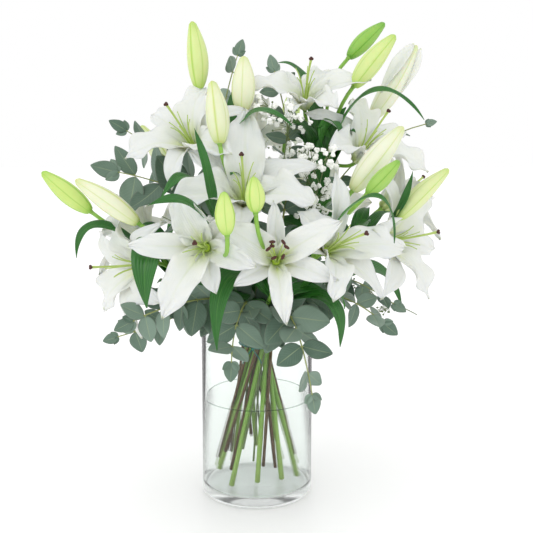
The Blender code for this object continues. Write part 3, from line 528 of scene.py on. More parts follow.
def tepal_grid(clock, length, width, start, end, inner, rule, rows=34, columns=15):
    """One tepal in the bloom's own frame, grooved along its midrib and ruffled at its edges."""
    v = np.linspace(0.0, 1.0, rows)
    u = np.linspace(-1.0, 1.0, columns)
    fine = np.linspace(0.0, 1.0, CURVE_STEPS + 1)
    angle = np.radians(start + (end - start) * smooth(fine))
    out = 0.004 + running_sum(np.sin(angle)) * length / CURVE_STEPS
    along = running_sum(np.cos(angle)) * length / CURVE_STEPS
    out = np.interp(v, fine, out)[:, None]
    along = np.interp(v, fine, along)[:, None]
    angle = np.interp(v, fine, angle)[:, None]
    v, u = v[:, None], u[None, :]
    half = width / 2 * tepal_shape(v, inner)
    cup = half * np.abs(u) ** 2 * (0.85 - 0.7 * v)
    groove = -0.0011 * np.exp(-((u * half / 0.0024) ** 2)) * np.sin(np.pi * np.clip(v * 1.05, 0, 1)) ** 0.5
    waves = rule.uniform(2.4, 4.2) if inner else rule.uniform(1.5, 2.6)
    deep = (0.006 if inner else 0.0028) * length / 0.1
    phase = waves * v + rule.random() + 0.25 * np.sign(u)
    ruffle = deep * np.abs(u) ** 2.5 * np.sin(TAU * phase) * smooth((v - 0.2) / 0.3)
    ruffle = ruffle * (1 - smooth((v - 0.85) / 0.15) * 0.7)
    lift = cup + groove + ruffle + 0.0009 * np.sin(u * 9 + v * 14 + rule.random() * 6) * v
    twist = math.radians(rule.uniform(-16, 16)) * smooth(v)
    sway = rule.uniform(-0.07, 0.07) * length * v**2
    across = half * u * np.cos(twist)
    lift = lift + half * u * np.sin(twist)
    local = np.stack(
        [out - np.cos(angle) * lift, across + sway + 0 * lift, along + np.sin(angle) * lift], axis=-1
    )
    turn = -math.radians(clock)
    c, s = math.cos(turn), math.sin(turn)
    x = local[..., 0] * c - local[..., 1] * s
    y = local[..., 0] * s + local[..., 1] * c
    local = np.stack([x, y, local[..., 2]], axis=-1)
    marks = np.stack([v + 0 * u, u + 0 * v, np.full((rows, columns), rule.random())], axis=-1)
    return local, marks


def to_world(matrix, points):
    m = np.array(matrix)
    return points @ m[:3, :3].T + m[:3, 3]


def curved(matrix, points, steps=8):
    return [matrix @ p for p in bezier_run([Vector(p) for p in points], steps)]


def build_bloom(name, stem, throat, facing, roll, length, end):
    """Six tepals, the pistil with its three-lobed stigma, six stamens and the pedicel."""
    node = "bloom_" + name
    rule = random.Random(node)
    form = Form()
    axis = Vector(facing).normalized()
    base = Vector(throat) - axis * THROAT_DEPTH
    place = bloom_frame(base, facing)
    for i, (turn, extra, share, broad) in enumerate(TEPAL_SET.get(name, PLAIN_SET)):
        inner = i % 2 == 0
        size = length * share * (1.0 if inner else 0.98)
        width = TEPAL_WIDTHS[0 if inner else 1] * length / 0.1 * broad
        opened = end + extra + (0 if inner else OUTER_OPENS_MORE) + rule.uniform(-5, 5)
        grid, marks = tepal_grid(roll + 60 * i + turn, size, width, CLAW_ANGLES[i % 2], opened, inner, rule)
        slab(form, to_world(place, grid), marks, TEPAL_THICKNESS, 0)
    route = pedicel(LILY_STEMS[stem][2], base, facing)
    tube(form, route, np.linspace(0.0022, 0.0026, len(route)), 10, 1)
    tube(form, [base - axis * 0.003, base + axis * 0.004], [0.0028, 0.005], 12, 1)
    opened_up = name == OPEN_STAMENS
    tall = length * (OPEN_PISTIL if opened_up else PISTIL)
    blob(form, base + axis * 0.004, 0.0052, 4)
    lean = Vector((rule.uniform(-0.08, 0.08), rule.uniform(-0.08, 0.08), 0.0)) * length
    rising = Vector((OPEN_RISE * length if opened_up else 0.0, 0.0, 0.0))
    lean += rising
    style = curved(place, (
        (0, 0, 0), (0, 0, 0.3 * tall),
        lean * 0.3 + Vector((0, 0, 0.6 * tall)), lean + Vector((0, 0, 0.9 * tall)),
    ))
    tube(form, style, [0.0026, 0.0026, 0.002, 0.0016, 0.0014, 0.0013, 0.0013, 0.0014, 0.0018], 8, 2)
    tip = style[-1]
    for k in range(3):
        lobe = place.to_3x3() @ Vector((math.cos(TAU * k / 3), math.sin(TAU * k / 3), 0.3)) * 0.0014
        blob(form, tip + lobe, 0.0019, 3)
    for i in range(6):
        aim = math.radians(60 * i + 30 + roll + rule.uniform(-12, 12))
        ray = Vector((math.cos(aim), -math.sin(aim), 0.0))
        reach = length * rule.uniform(0.5, 0.6)
        spread = length * rule.uniform(0.11, 0.17)
        if opened_up:
            reach, spread = OPEN_REACH * length, OPEN_SPREAD * length
        rise = Vector((0.0, 0.0, 1.0))
        points = (
            ray * 0.002,
            ray * 0.003 + rise * 0.4 * reach,
            ray * 0.3 * spread + rise * 0.75 * reach + rising * 0.4,
            ray * spread + rise * reach + rising,
        )
        filament = curved(place, points)
        tube(form, filament, np.linspace(0.0011, 0.0006, len(filament)), 6, 2, tone=1.0)
        if opened_up:
            swing = aim + rule.uniform(-0.9, 0.9)
            anther = place.to_3x3() @ (Vector((-math.sin(swing), -math.cos(swing), 0.25)) * 0.0038)
            blob(form, filament[-1], 0.0019, 3, stretch=anther)
        else:
            blob(form, filament[-1], 0.0008, 2, tone=1.0, detail=1)
    return form.finish("lily_" + node, ("petal", "stem", "pistil", "stigma", "nectary"), node)


def bud_width(t):
    """Share of the full width along a bud."""
    t = np.clip(t, 0, 1)
    return np.sin(np.pi * (0.12 + 0.8 * t**0.85)) ** 0.9


def part_tips(form, base, tip, bow, width, rule):
    """Three tepals that stand a little away from an opening bud."""
    axis = (tip - base).normalized()
    side, other = axis.cross(bow).normalized(), bow.normalized()
    for k in range(3):
        out = (side * math.cos(TAU * k / 3) + other * math.sin(TAU * k / 3)) * width
        guides = (
            base.lerp(tip, 0.3) + out * 0.4,
            base.lerp(tip, 0.62) + out * 0.56,
            base.lerp(tip, 0.9) + out * 0.34,
            tip + out * 0.24,
        )
        grid, marks = leaf_grid(guides, width * 0.62, rule, rows=24, columns=9, broad=0.45)
        marks[..., 0] = 0.5 + marks[..., 0] / 2
        slab(form, grid, marks, TEPAL_THICKNESS, 2)


def build_bud(name, stem, base, tip, width, ripeness):
    """A spindle of three broad ridged sides and three seams, on its pedicel."""
    node = "bud_" + name
    rule = random.Random(node)
    form = Form()
    base, tip = Vector(base), Vector(tip)
    axis = (tip - base).normalized()
    bow = axis.cross(Vector((rule.uniform(-1, 1), rule.uniform(-1, 1), rule.uniform(-1, 1)))).normalized()
    bow *= (tip - base).length * 0.02
    steps = 30
    spine = [base.lerp(tip, i / steps) + bow * math.sin(math.pi * i / steps) for i in range(steps + 1)]
    radii = [width / 2 * bud_width(i / steps) * (1 if i < steps else 0.5) for i in range(steps + 1)]

    def ribs(angles, share):
        seam = np.exp(-((np.sin(1.5 * angles + math.pi / 2)) / 0.1) ** 2)
        ridge = 0.055 * np.cos(3 * angles) - 0.05 * seam
        midrib = 0.035 * np.exp(-((np.sin(1.5 * angles)) / 0.07) ** 2)
        return 1 + (ridge + midrib) * math.sin(math.pi * min(max(share, 0.02), 0.98)) ** 0.4

    tube(form, spine, radii, 48, 0, tone=ripeness, ribs=ribs)
    route = pedicel(LILY_STEMS[stem][2], base, axis)
    tube(form, route, np.linspace(0.002, 0.0026, len(route)), 10, 1)
    tube(form, [base - axis * 0.004, base + axis * 0.003], [0.0026, 0.0042], 12, 1)
    if name == OPENING_BUD:
        part_tips(form, base, tip, bow, width, rule)
    return form.finish("lily_" + node, ("bud", "stem", "petal"), node)


def leaf_grid(guides, width, rule, rows=44, columns=11, broad=0.4):
    """A long leaf along a curve: folded at its midrib, a little wavy, and twisted towards its tip."""
    grid = np.zeros((rows, columns, 3))
    marks = np.zeros((rows, columns, 3))
    face_up = Vector((0.0, -0.5, 1.0))
    turn = math.radians(rule.uniform(-35, 35))
    phase = rule.random() * TAU
    tone = rule.random() * 0.5
    for r in range(rows):
        v = r / (rows - 1)
        middle = bezier(guides, v)
        ahead = (bezier(guides, min(v + 0.01, 1.0)) - bezier(guides, max(v - 0.01, 0.0))).normalized()
        side = ahead.cross(face_up).normalized()
        side = (side * math.cos(turn * v) + side.cross(ahead) * math.sin(turn * v)).normalized()
        normal = side.cross(ahead)
        half = width / 2 * max(0.03, math.sin(math.pi * v ** (math.log(0.5) / math.log(broad))) ** 0.85)
        if v < 0.4:
            half = max(half, LEAST_HALF_WIDTH)
        for c in range(columns):
            u = c / (columns - 1) * 2 - 1
            fold = abs(u) * half * 0.28 + 0.0008 * math.sin(phase + v * 17 + u * 2) * abs(u)
            grid[r, c] = middle + side * half * u + normal * fold
            marks[r, c] = (v, u, tone)
    return grid, marks


def build_lily_stem(name, slot, foot, top):
    node = "lily_stem_" + name
    rule = random.Random(node)
    form = Form()
    route = stem_route(slot, LILY_RING, foot, (top,), 24)
    radii = [STEM_RADIUS * (1 + 0.05 * math.sin(i * 1.7 + slot)) * (1 - 0.008 * i) for i in range(len(route))]
    tube(form, route, radii, 14, 0, tone=rule.random())
    curve = stem_curves(slot, LILY_RING, (top,))[0]
    for share, first, second, tip, width in LONG_LEAVES.get(name, ()):
        grid, marks = leaf_grid((bezier(curve, share), first, second, tip), width, rule)
        slab(form, grid, marks, LEAF_THICKNESS, 1, back_tone=0.9)
    for k in range(SHORT_LEAVES + WHORLS.get(name, 0)):
        whorl = k >= SHORT_LEAVES
        share = 0.97 if whorl else 0.36 + 0.52 * k / SHORT_LEAVES
        clock = k * GOLDEN_ANGLE + slot
        way = Vector((math.cos(clock), math.sin(clock), 0.0))
        climb, reach = (0.078, 0.06) if whorl else (0.03, 0.07)
        reach *= rule.uniform(0.75, 1.05)
        root = bezier(curve, share)
        rise = Vector((0.0, 0.0, climb * rule.uniform(0.8, 1.1)))
        guides = (
            root,
            root + way * reach * 0.25 + rise * 0.5,
            root + way * reach * 0.65 + rise,
            root + way * reach + rise * 0.8,
        )
        grid, marks = leaf_grid(guides, rule.uniform(0.019, 0.026), rule, rows=24, columns=7)
        slab(form, grid, marks, LEAF_THICKNESS, 1, back_tone=0.9)
    return form.finish("stem_and_leaves_" + name, ("stem", "lily_leaf"), node)


# ---- eucalyptus and gypsophila

def round_leaf(form, root, ahead, face, length, rule, rows=15, columns=13):
    """A round grey-green leaf with a short point, on a short stalk."""
    side = ahead.cross(face).normalized()
    normal = side.cross(ahead)
    bend = rule.uniform(-0.1, 0.16)
    cup = rule.uniform(0.02, 0.14)
    wide = rule.uniform(0.3, 0.38)
    phase = rule.random() * TAU
    tone = rule.random()
    v = np.linspace(0, 1, rows)[:, None]
    u = np.linspace(-1, 1, columns)[None, :]
    half = length * wide * np.maximum(np.sin(np.pi * (0.02 + 0.97 * v**0.8)), 0.0) ** 0.78
    along = length * (v + 0.03)
    out = half * u
    lift = length * (bend * v * v * 1.4 - 0.05 * v) + half * u * u * cup
    lift = lift + length * 0.014 * np.sin(phase + v * 9 + u * 3) * np.abs(u)
    lift = lift - 0.0005 * np.exp(-((u * half / 0.001) ** 2))
    a, s, n = (np.array(x) for x in (ahead, side, normal))
    grid = np.array(root) + along[..., None] * a + out[..., None] * s + lift[..., None] * n
    marks = np.stack([v + 0 * u, u + 0 * v, np.full((rows, columns), tone * 0.85)], axis=-1)
    slab(form, grid, marks, ROUND_LEAF_THICKNESS, 1, back_tone=0.8)
    foot = Vector(root)
    tube(form, [foot, foot + ahead * length * 0.06], [0.0008, 0.0006], 6, 0, tone=1.0)


def build_eucalyptus(name, slot, ring, foot, first, second, tip, pairs, leaf):
    node = "eucalyptus_" + name
    rule = random.Random(node)
    form = Form()
    route = stem_route(slot, ring, foot, (first, second, tip), 16)
    radii = np.interp(np.linspace(0, 1, len(route)), [0, 0.4, 1], [0.0024, 0.0017, 0.0007])
    radii *= [rule.uniform(0.88, 1.14) for _ in route]
    tube(form, route, radii, 8, 0)
    leafy = route[-LEAFY_POINTS:]
    count = pairs * 2
    for pair in range(count):
        share = (pair + 0.4) / count * (len(leafy) - 1)
        index = min(int(share), len(leafy) - 2)
        root = leafy[index].lerp(leafy[index + 1], share - index)
        ahead = (leafy[index + 1] - leafy[index]).normalized()
        outward = Vector((root.x, root.y, 0.0)).normalized()
        show = (outward * 0.5 + Vector((0.0, -0.6, 0.4))).normalized()
        across = ahead.cross(show).normalized()
        if pair % 2:
            across = (across * 0.55 + show * 0.65).normalized()
        size = leaf * (1.1 - 0.5 * pair / count)
        for way in (-1, 1):
            aim = across * way + ahead * rule.uniform(0.25, 0.65) - Vector((0.0, 0.0, rule.uniform(0.0, 0.3)))
            aim.normalize()
            tilt = Vector([rule.uniform(-0.5, 0.5) for _ in range(3)])
            face = show + tilt - aim * aim.dot(show + tilt)
            round_leaf(form, root, aim, face, size * rule.uniform(0.85, 1.1), rule)
    end = (leafy[-1] - leafy[-2]).normalized()
    facing = Vector((0.1, -1.0, 0.35))
    round_leaf(form, route[-1], end, facing, leaf * 0.5, rule)
    across = end.cross(facing).normalized()
    for way in (-1, 1):
        round_leaf(form, route[-1], (end + across * way).normalized(), facing, leaf * 0.28, rule)
    return form.finish(node, ("twig", "eucalyptus_leaf"), node)


def build_gypsophila(name, slot, ring, foot, first, second, tip, twigs, spread, seed):
    """A cloud of small ruffled white florets on fine forked twigs, with a few closed buds."""
    rule = random.Random(seed)
    form = Form()
    route = stem_route(slot, ring, foot, (first, second, tip), 16)
    tube(form, route, np.interp(np.linspace(0, 1, len(route)), [0, 1], [0.0014, 0.0006]), 6, 0)
    leafy = route[-FLOWERY_POINTS:]
    for i in range(twigs):
        root = leafy[int((i + 0.5) / twigs * (len(leafy) - 1))]
        away = Vector([rule.uniform(-1, 1), rule.uniform(-1, 0.6), rule.uniform(-0.2, 1)]).normalized()
        end = root + away * spread * rule.uniform(0.6, 1.0)
        tube(form, [root, root.lerp(end, 0.5) + Vector((0, 0, 0.003)), end], [0.0006, 0.0005, 0.0004], 5, 0)
        for _ in range(FLORETS_PER_TWIG):
            fork = root.lerp(end, rule.uniform(0.35, 0.95))
            aim = (away + Vector([rule.uniform(-1, 1) for _ in range(3)]) * 1.1).normalized()
            at = fork + aim * spread * rule.uniform(0.2, 0.5)
            bent = fork.lerp(at, 0.6) + Vector((0, 0, 0.001))
            tube(form, [fork, bent, at], [0.0004, 0.00035, 0.0003], 4, 0)
            if rule.random() < (MANY_BUDS if name == BUDDING_SPRAY else FEW_BUDS):
                blob(form, at, 0.0015, 0, detail=1)
            else:
                floret(form, at, rule)
    node = "gypsophila_" + name
    return form.finish(node, ("twig_green", "floret"), node)


def floret(form, centre, rule):
    """A small double flower: a lumpy heart with ruffled leaves of petal round it."""
    size = rule.uniform(0.0036, 0.0054)
    blob(form, centre, size * 0.62, 1, rule=rule)
    for _ in range(7):
        aim = Vector([rule.gauss(0, 1) for _ in range(3)]).normalized()
        blob(form, centre + aim * size * 0.55, size * 0.5, 1, rule=rule, detail=1)


# ---- vase, water, tie

def turned(name, profile, materials, replaced, sides=128, closed=False):
    """A solid of revolution; points on the axis become one."""
    form = Form()
    angles = np.linspace(0, TAU, sides, endpoint=False)
    points, rings = [], []
    for radius, height in profile:
        if radius < 1e-6:
            rings.append([len(points)] * sides)
            points.append((0.0, 0.0, height))
        else:
            rings.append(list(range(len(points), len(points) + sides)))
            points += [(radius * math.cos(a), radius * math.sin(a), height) for a in angles]
    faces = []
    pairs = list(zip(rings, rings[1:])) + ([(rings[-1], rings[0])] if closed else [])
    for low, high in pairs:
        for k in range(sides):
            n = (k + 1) % sides
            face = [low[k], high[k], high[n], low[n]]
            face = [p for j, p in enumerate(face) if p not in face[:j]]
            if len(face) > 2:
                faces.append(tuple(face))
    form.add(points, faces, (0.0, 0.0, 0.0), 0)
    return form.finish(name, materials, replaced)


def arc(centre, radius, start, end, steps):
    angles = [math.radians(start + (end - start) * i / steps) for i in range(steps + 1)]
    return [(centre[0] + radius * math.cos(a), centre[1] + radius * math.sin(a)) for a in angles]


def build_vase():
    inner = VASE_RADIUS - VASE_WALL
    rim = VASE_WALL / 2
    corner = 0.006
    outside = arc((VASE_RADIUS - rim, VASE_HEIGHT - rim), rim, 90, 0, 5)
    outside += arc((VASE_RADIUS - corner, corner), corner, 0, -90, 8)
    inside = [(0.0, VASE_FLOOR + 0.0015), (0.03, VASE_FLOOR + 0.001)]
    inside += arc((inner - 0.007, VASE_FLOOR + 0.007), 0.007, -90, 0, 8)
    inside += arc((VASE_RADIUS - rim, VASE_HEIGHT - rim), rim, 180, 90, 5)[:-1]
    profile = [*outside, (0.0, 0.0), *inside]
    vase = turned("glass_vase", profile, ("glass",), "vase", closed=True)
    vase.visible_shadow = False


def build_water():
    edge = VASE_RADIUS - VASE_WALL + 0.0003
    low = VASE_FLOOR - 0.0003
    top = [(0.0, WATER_LEVEL), (edge - 0.01, WATER_LEVEL), (edge - 0.004, WATER_LEVEL + 0.0004)]
    top += [(edge - 0.0015, WATER_LEVEL + 0.0009), (edge - 0.0003, WATER_LEVEL + 0.0016)]
    top += [(edge, WATER_LEVEL + 0.0016)]
    side = arc((edge - 0.007, low + 0.007), 0.007, 0, -90, 8)
    profile = [*top, *side, (0.03, low + 0.001), (0.0, low + 0.0015)]
    body = turned("vase_water", profile, ("water",), "water")
    # A thin ring along the meniscus in the dark grey-green water_edge material: painted shade for the dark
    # line that the bending of light draws at the water's edge.
    ring = arc((edge - 0.0012, WATER_LEVEL + 0.0006), 0.0006, 350, 0, 7)
    rim = turned("water_edge", ring, ("water_edge",), "water", closed=True)
    body.visible_shadow = rim.visible_shadow = False


def build_tie():
    """Twine wound four times round the stems, with a knot and two short ends."""
    form = Form()
    steps = 40 * TIE_TURNS
    points = []
    for i in range(steps + 1):
        a = TAU * TIE_TURNS * i / steps
        wobble = 0.0005 * math.sin(a * 5.3)
        height = TIE_HEIGHT - 0.0045 + 0.009 * i / steps + 0.0003 * math.sin(a * 3)
        radius = TIE_RADIUS + wobble
        points.append((radius * math.cos(a - 1.8), radius * math.sin(a - 1.8), height))
    for strand in range(2):
        twisted = []
        for i, p in enumerate(points):
            a = i * 0.9 + math.pi * strand
            out = Vector((p[0], p[1], 0.0)).normalized()
            twisted.append(Vector(p) + out * 0.0005 * math.cos(a) + Vector((0, 0, 0.0005 * math.sin(a))))
        tube(form, twisted, [0.00075] * len(twisted), 6, 0)
    knot = Vector(points[0])
    for k in range(2):
        way = Vector((0.3 - 0.9 * k, -1.0, -0.6)).normalized()
        end = knot + way * 0.006 + Vector((0.01 - 0.02 * k, -0.0, -0.016))
        guides = (knot, knot + way * 0.008, end + Vector((0, 0, 0.006)), end)
        tube(form, bezier_run(guides, 10), [0.0009] * 11, 6, 0)
    blob(form, knot + Vector((0, -0.001, 0)), 0.0024, 0)
    return form.finish("twine_binding", ("twine",), "twine_tie")


# ---- materials

MATERIALS = {}


class Shader:
    """A node material round one Principled shader, with short calls for the nodes it is fed by."""

    def __init__(self, name, **constants):
        self.material = bpy.data.materials.new(name)
        self.material.use_nodes = True
        self.tree = self.material.node_tree
        self.principled = self.tree.nodes["Principled BSDF"]
        for socket, value in constants.items():
            self.principled.inputs[socket.replace("_", " ")].default_value = value
        MATERIALS[name] = self.material

    def node(self, kind, inputs=(), **settings):
        made = self.tree.nodes.new("ShaderNode" + kind)
        for key, value in settings.items():
            setattr(made, key, value)
        for key, value in dict(inputs).items():
            self.feed(made.inputs[key], value)
        return made

    def feed(self, socket, value):
        if isinstance(value, bpy.types.NodeSocket):
            self.tree.links.new(value, socket)
        else:
            socket.default_value = value

    def marks(self):
        attribute = self.node("Attribute", attribute_name="grain")
        split = self.node("SeparateXYZ", {0: attribute.outputs["Vector"]})
        return split.outputs[0], split.outputs[1], split.outputs[2]

    def maths(self, operation, a, b=0.0, clamp=False):
        return self.node("Math", {0: a, 1: b}, operation=operation, use_clamp=clamp).outputs[0]

    def times(self, a, b, clamp=False):
        return self.maths("MULTIPLY", a, b, clamp)

    def plus(self, a, b):
        return self.maths("ADD", a, b)

    def ridge(self, away, sharpness):
        """1 where away is 0, and 0 from 1 / sharpness outwards."""
        return self.maths("SUBTRACT", 1.0, self.times(away, sharpness), clamp=True)

    def wave(self, value, rate):
        return self.maths("SINE", self.times(value, rate))

    def noise(self, scale, detail=3.0):
        where = self.node("TexCoord").outputs["Object"]
        return self.node("TexNoise", {"Scale": scale, "Detail": detail, "Vector": where}).outputs["Fac"]

    def ramp(self, value, stops):
        made = self.node("ValToRGB", {0: value})
        band = made.color_ramp
        while len(band.elements) < len(stops):
            band.elements.new(0.5)
        for element, (place, colour) in zip(band.elements, stops):
            element.position = place
            element.color = (*colour, 1.0)
        return made.outputs[0]

    def mix(self, share, a, b):
        made = self.node("Mix", data_type="RGBA")
        self.feed(made.inputs[0], share)
        for socket, value in ((made.inputs[6], a), (made.inputs[7], b)):
            self.feed(socket, value if isinstance(value, bpy.types.NodeSocket) else (*value, 1.0))
        return made.outputs[2]

    def spread(self, value, low, high):
        return self.node("MapRange", {0: value, 3: low, 4: high}).outputs[0]

    def colour(self, value):
        self.feed(self.principled.inputs["Base Color"], value)

    def rough(self, value):
        self.feed(self.principled.inputs["Roughness"], value)

    def bump(self, height, strength, distance):
        made = self.node("Bump", {"Height": height, "Strength": strength, "Distance": distance})
        self.feed(self.principled.inputs["Normal"], made.outputs[0])


def make_petal():
    s = Shader("petal", Subsurface_Weight=0.5, Subsurface_Scale=0.004, Specular_IOR_Level=0.3)
    s.principled.inputs["Subsurface Radius"].default_value = (1.0, 0.9, 0.7)
    along, across, _ = s.marks()
    away = s.maths("ABSOLUTE", across)
    reach = s.plus(along, s.times(away, 0.16))
    reach = s.plus(reach, s.times(s.spread(s.noise(60), -0.5, 0.5), 0.06))
    tint = s.ramp(reach, (
        (0.0, (0.52, 0.7, 0.1)), (0.13, (0.68, 0.8, 0.26)), (0.27, (0.79, 0.84, 0.6)),
        (0.44, (0.8, 0.82, 0.765)), (1.0, (0.815, 0.825, 0.8)),
    ))
    line = s.ridge(away, 9.0)
    fade = s.maths("SUBTRACT", 0.9, along, clamp=True)
    tint = s.mix(s.times(line, s.times(fade, 0.55)), tint, (0.66, 0.76, 0.4))
    tint = s.mix(s.times(s.maths("GREATER_THAN", along, 0.965), 0.45), tint, (0.6, 0.68, 0.34))
    tint = s.mix(s.spread(s.noise(35), 0.0, 0.16), tint, (0.76, 0.79, 0.74))
    s.colour(tint)
    s.rough(s.spread(s.noise(120), 0.38, 0.58))
    veins = s.wave(across, 46.0)
    veins = s.plus(s.times(veins, 0.35), s.times(s.noise(300), 0.9))
    s.bump(veins, 0.35, 0.0006)


def make_bud():
    s = Shader("bud", Subsurface_Weight=0.15, Subsurface_Scale=0.003, Specular_IOR_Level=0.45)
    along, around, ripe = s.marks()
    wave = s.maths("ABSOLUTE", s.wave(around, 3 * math.pi))
    rib = s.ridge(wave, 4.2)
    seam_wave = s.maths("ABSOLUTE", s.maths("COSINE", s.times(around, 3 * math.pi)))
    seam = s.ridge(seam_wave, 7.0)
    body = s.ramp(ripe, (
        (0.0, (0.26, 0.54, 0.07)), (0.35, (0.66, 0.8, 0.25)), (0.6, (0.76, 0.83, 0.42)),
        (0.85, (0.84, 0.86, 0.66)), (1.0, (0.87, 0.88, 0.8)),
    ))
    ends = s.times(s.maths("ABSOLUTE", s.maths("SUBTRACT", along, 0.5)), 2.0)
    ends = s.maths("POWER", ends, 4.0)
    green = s.ramp(ripe, (
        (0.0, (0.06, 0.3, 0.012)), (0.35, (0.27, 0.57, 0.03)), (0.6, (0.42, 0.63, 0.06)),
        (0.85, (0.56, 0.67, 0.14)), (1.0, (0.64, 0.73, 0.28)),
    ))
    tint = s.mix(s.times(ends, 0.7), body, green)
    tint = s.mix(s.times(rib, 0.85), tint, green)
    tint = s.mix(s.times(seam, 0.55), tint, green)
    stripes = s.wave(around, 150.0)
    tint = s.mix(s.spread(s.noise(90), 0.0, 0.22), tint, green)
    s.colour(tint)
    s.rough(s.spread(s.noise(160), 0.3, 0.48))
    s.bump(s.plus(s.times(stripes, 0.3), s.noise(260)), 0.25, 0.0005)


def make_stem():
    s = Shader("stem", Subsurface_Weight=0.05, Subsurface_Scale=0.002)
    along, around, _ = s.marks()
    body = s.mix(s.spread(s.noise(28), 0.0, 1.0), (0.16, 0.38, 0.035), (0.34, 0.61, 0.1))
    low = s.ridge(along, 6.0)
    body = s.mix(s.times(low, 0.5), body, (0.36, 0.4, 0.16))
    s.colour(body)
    s.rough(s.spread(s.noise(80), 0.32, 0.55))
    ridges = s.wave(around, 88.0)
    s.bump(s.plus(s.times(ridges, 0.4), s.noise(220)), 0.35, 0.0006)


def make_lily_leaf():
    s = Shader("lily_leaf", Specular_IOR_Level=0.5, Subsurface_Weight=0.04, Subsurface_Scale=0.001)
    _, across, tone = s.marks()
    face = s.mix(s.spread(s.noise(22), 0.0, 1.0), (0.008, 0.08, 0.008), (0.028, 0.19, 0.018))
    face = s.mix(s.maths("GREATER_THAN", tone, 0.7), face, (0.06, 0.24, 0.035))
    veins = s.wave(across, 27.0)
    face = s.mix(s.times(s.spread(veins, -0.6, 1.0), 0.26, clamp=True), face, (0.08, 0.29, 0.05))
    line = s.ridge(s.maths("ABSOLUTE", across), 14.0)
    face = s.mix(s.times(line, 0.5), face, (0.1, 0.32, 0.05))
    s.colour(face)
    s.rough(s.spread(s.noise(100), 0.26, 0.42))
    s.bump(s.plus(veins, s.times(s.noise(240), 0.8)), 0.35, 0.0005)


def make_eucalyptus():
    s = Shader("eucalyptus_leaf", Specular_IOR_Level=0.35, Sheen_Weight=0.25, Sheen_Roughness=0.5)
    along, across, tone = s.marks()
    body = s.mix(s.spread(tone, 0.0, 1.0), (0.048, 0.105, 0.066), (0.25, 0.345, 0.275))
    body = s.mix(s.spread(s.noise(45, 5.0), 0.0, 0.5), body, (0.23, 0.33, 0.26))
    away = s.maths("ABSOLUTE", across)
    line = s.ridge(away, 18.0)
    slant = s.maths("SUBTRACT", s.times(along, 10.0), s.times(away, 3.0))
    side = s.wave(slant, 6.3)
    fine = s.maths("GREATER_THAN", side, 0.94)
    body = s.mix(s.times(fine, 0.22), body, (0.3, 0.4, 0.29))
    body = s.mix(s.times(line, 0.6), body, (0.42, 0.5, 0.28))
    edge = s.maths("GREATER_THAN", away, 0.955)
    body = s.mix(s.times(edge, 0.35), body, (0.22, 0.17, 0.14))
    s.colour(body)
    s.rough(s.spread(s.noise(130), 0.48, 0.68))
    s.bump(s.plus(s.times(fine, 0.3), s.noise(200)), 0.25, 0.0005)


def make_plain(name, low, high, rough, scale=60, bump=0.2, **more):
    s = Shader(name, **more)
    s.colour(s.mix(s.noise(scale), low, high))
    s.rough(s.spread(s.noise(scale * 2), rough - 0.08, rough + 0.08))
    s.bump(s.noise(scale * 5), bump, 0.0005)


def make_twig():
    """Dark brown and rough where it stands in the water, yellow-green further up and on the leaf stalks."""
    s = Shader("twig")
    along, _, tone = s.marks()
    height = s.maths("MAXIMUM", along, tone)
    height = s.plus(height, s.times(s.spread(s.noise(40), -0.5, 0.5), 0.1))
    body = s.ramp(height, (
        (0.0, (0.08, 0.036, 0.014)), (0.2, (0.16, 0.09, 0.028)),
        (0.34, (0.28, 0.31, 0.09)), (1.0, (0.36, 0.42, 0.15)),
    ))
    s.colour(s.mix(s.spread(s.noise(220), 0.0, 0.35), body, (0.1, 0.08, 0.03)))
    s.rough(s.spread(s.noise(120), 0.45, 0.65))
    s.bump(s.noise(420), 0.6, 0.0007)


def make_twine():
    s = Shader("twine", Sheen_Weight=0.3)
    along, around, _ = s.marks()
    s.colour(s.mix(s.noise(400), (0.03, 0.17, 0.13), (0.07, 0.34, 0.27)))
    s.rough(0.85)
    twist = s.plus(s.times(along, 420.0), around)
    s.bump(s.wave(twist, 6.28), 0.5, 0.0003)


def make_clear(name, tint, ior, share):
    """Clear glass or water; share is how much of the light it bends, and the rest goes straight through."""
    s = Shader(name, Transmission_Weight=1.0, Alpha=share)
    s.principled.inputs["IOR"].default_value = ior
    s.principled.inputs["Base Color"].default_value = (*tint, 1.0)
    s.rough(s.spread(s.noise(6, 2.0), 0.0, 0.006))


def make_floor():
    s = Shader("floor", Emission_Strength=0.18)
    s.principled.inputs["Emission Color"].default_value = (1.0, 1.0, 1.0, 1.0)
    s.colour(s.mix(s.noise(3), (0.9, 0.9, 0.9), (0.93, 0.93, 0.93)))
    s.rough(0.45)


FLORET_GLOW = {"Emission_Strength": 0.1, "Emission_Color": (0.97, 0.98, 0.94, 1.0)}


def make_materials():
    make_petal()
    make_bud()
    make_stem()
    make_lily_leaf()
    make_eucalyptus()
    make_plain("pistil", (0.36, 0.52, 0.08), (0.56, 0.68, 0.22), 0.4)
    make_plain("nectary", (0.5, 0.72, 0.06), (0.62, 0.8, 0.14), 0.4)
    make_plain("stigma", (0.03, 0.008, 0.006), (0.11, 0.025, 0.015), 0.6, 500, 0.6)
    make_twig()
    make_plain("twig_green", (0.1, 0.15, 0.05), (0.2, 0.26, 0.11), 0.55)
    make_plain("floret", (0.88, 0.89, 0.84), (0.96, 0.96, 0.93), 0.6, 500, 0.3, **FLORET_GLOW)
    make_twine()
    make_clear("glass", (0.96, 0.988, 0.975), 1.3, 1.0)
    make_clear("water", (0.99, 0.998, 0.994), 1.06, 0.45)
    # water_edge is tinted dark grey-green: painted shade for the meniscus line, where the real water is clear
    # and only bends the light.
    make_clear("water_edge", (0.36, 0.44, 0.39), 1.1, 0.75)
    make_floor()


# ---- studio

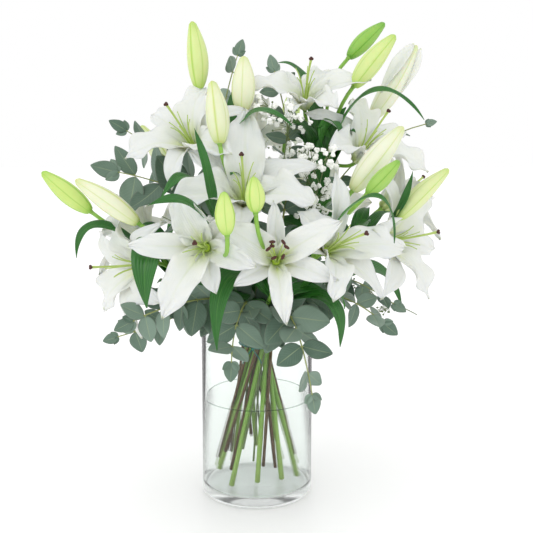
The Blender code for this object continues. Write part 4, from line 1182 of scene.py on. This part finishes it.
def make_camera():
    camera = bpy.data.objects.new("camera", bpy.data.cameras.new("camera"))
    camera.location = CAMERA_PLACE
    camera.rotation_euler = (math.pi / 2 - CAMERA_TILT, 0.0, 0.0)
    camera.data.lens = CAMERA_LENS
    camera.data.sensor_width = 36.0
    bpy.context.scene.collection.objects.link(camera)
    bpy.context.scene.camera = camera


def area_light(name, place, aim, size, power):
    light = bpy.data.lights.new(name, "AREA")
    light.shape = "RECTANGLE"
    light.size, light.size_y = size
    light.energy = power
    lamp = bpy.data.objects.new(name, light)
    lamp.location = place
    lamp.rotation_euler = (Vector(aim) - Vector(place)).to_track_quat("-Z", "Y").to_euler()
    bpy.context.scene.collection.objects.link(lamp)


def make_studio():
    world = bpy.data.worlds.new("studio")
    bpy.context.scene.world = world
    world.use_nodes = True
    world.node_tree.nodes["Background"].inputs["Color"].default_value = (1.0, 1.0, 1.0, 1.0)
    world.node_tree.nodes["Background"].inputs["Strength"].default_value = 1.0
    area_light("key", (-1.1, -1.3, 1.6), (0.0, 0.0, 0.35), (1.2, 1.2), 6.0)
    area_light("fill", (1.4, -1.0, 0.9), (0.0, 0.0, 0.35), (1.2, 1.2), 1.5)
    bpy.context.scene.view_settings.view_transform = "Standard"
    mesh = bpy.data.meshes.new("floor")
    wide = 30.0
    corners = [(-wide, -wide, 0), (wide, -wide, 0), (wide, wide, 0), (-wide, wide, 0)]
    mesh.from_pydata(corners, [], [(0, 1, 2, 3)])
    mesh.materials.append(MATERIALS["floor"])
    floor = bpy.data.objects.new("floor", mesh)
    floor.location.z = -0.0002
    bpy.context.scene.collection.objects.link(floor)


# ---- build

make_camera()
make_materials()
build_vase()
build_water()
build_tie()
for name, bloom in BLOOMS.items():
    build_bloom(name, *bloom)
for name, bud in BUDS.items():
    build_bud(name, *bud)
for name, stem in LILY_STEMS.items():
    build_lily_stem(name, *stem)
for name, branch in EUCALYPTUS.items():
    build_eucalyptus(name, *branch)
for name, spray in GYPSOPHILA.items():
    build_gypsophila(name, *spray)
make_studio()

bpy.context.view_layer.update()
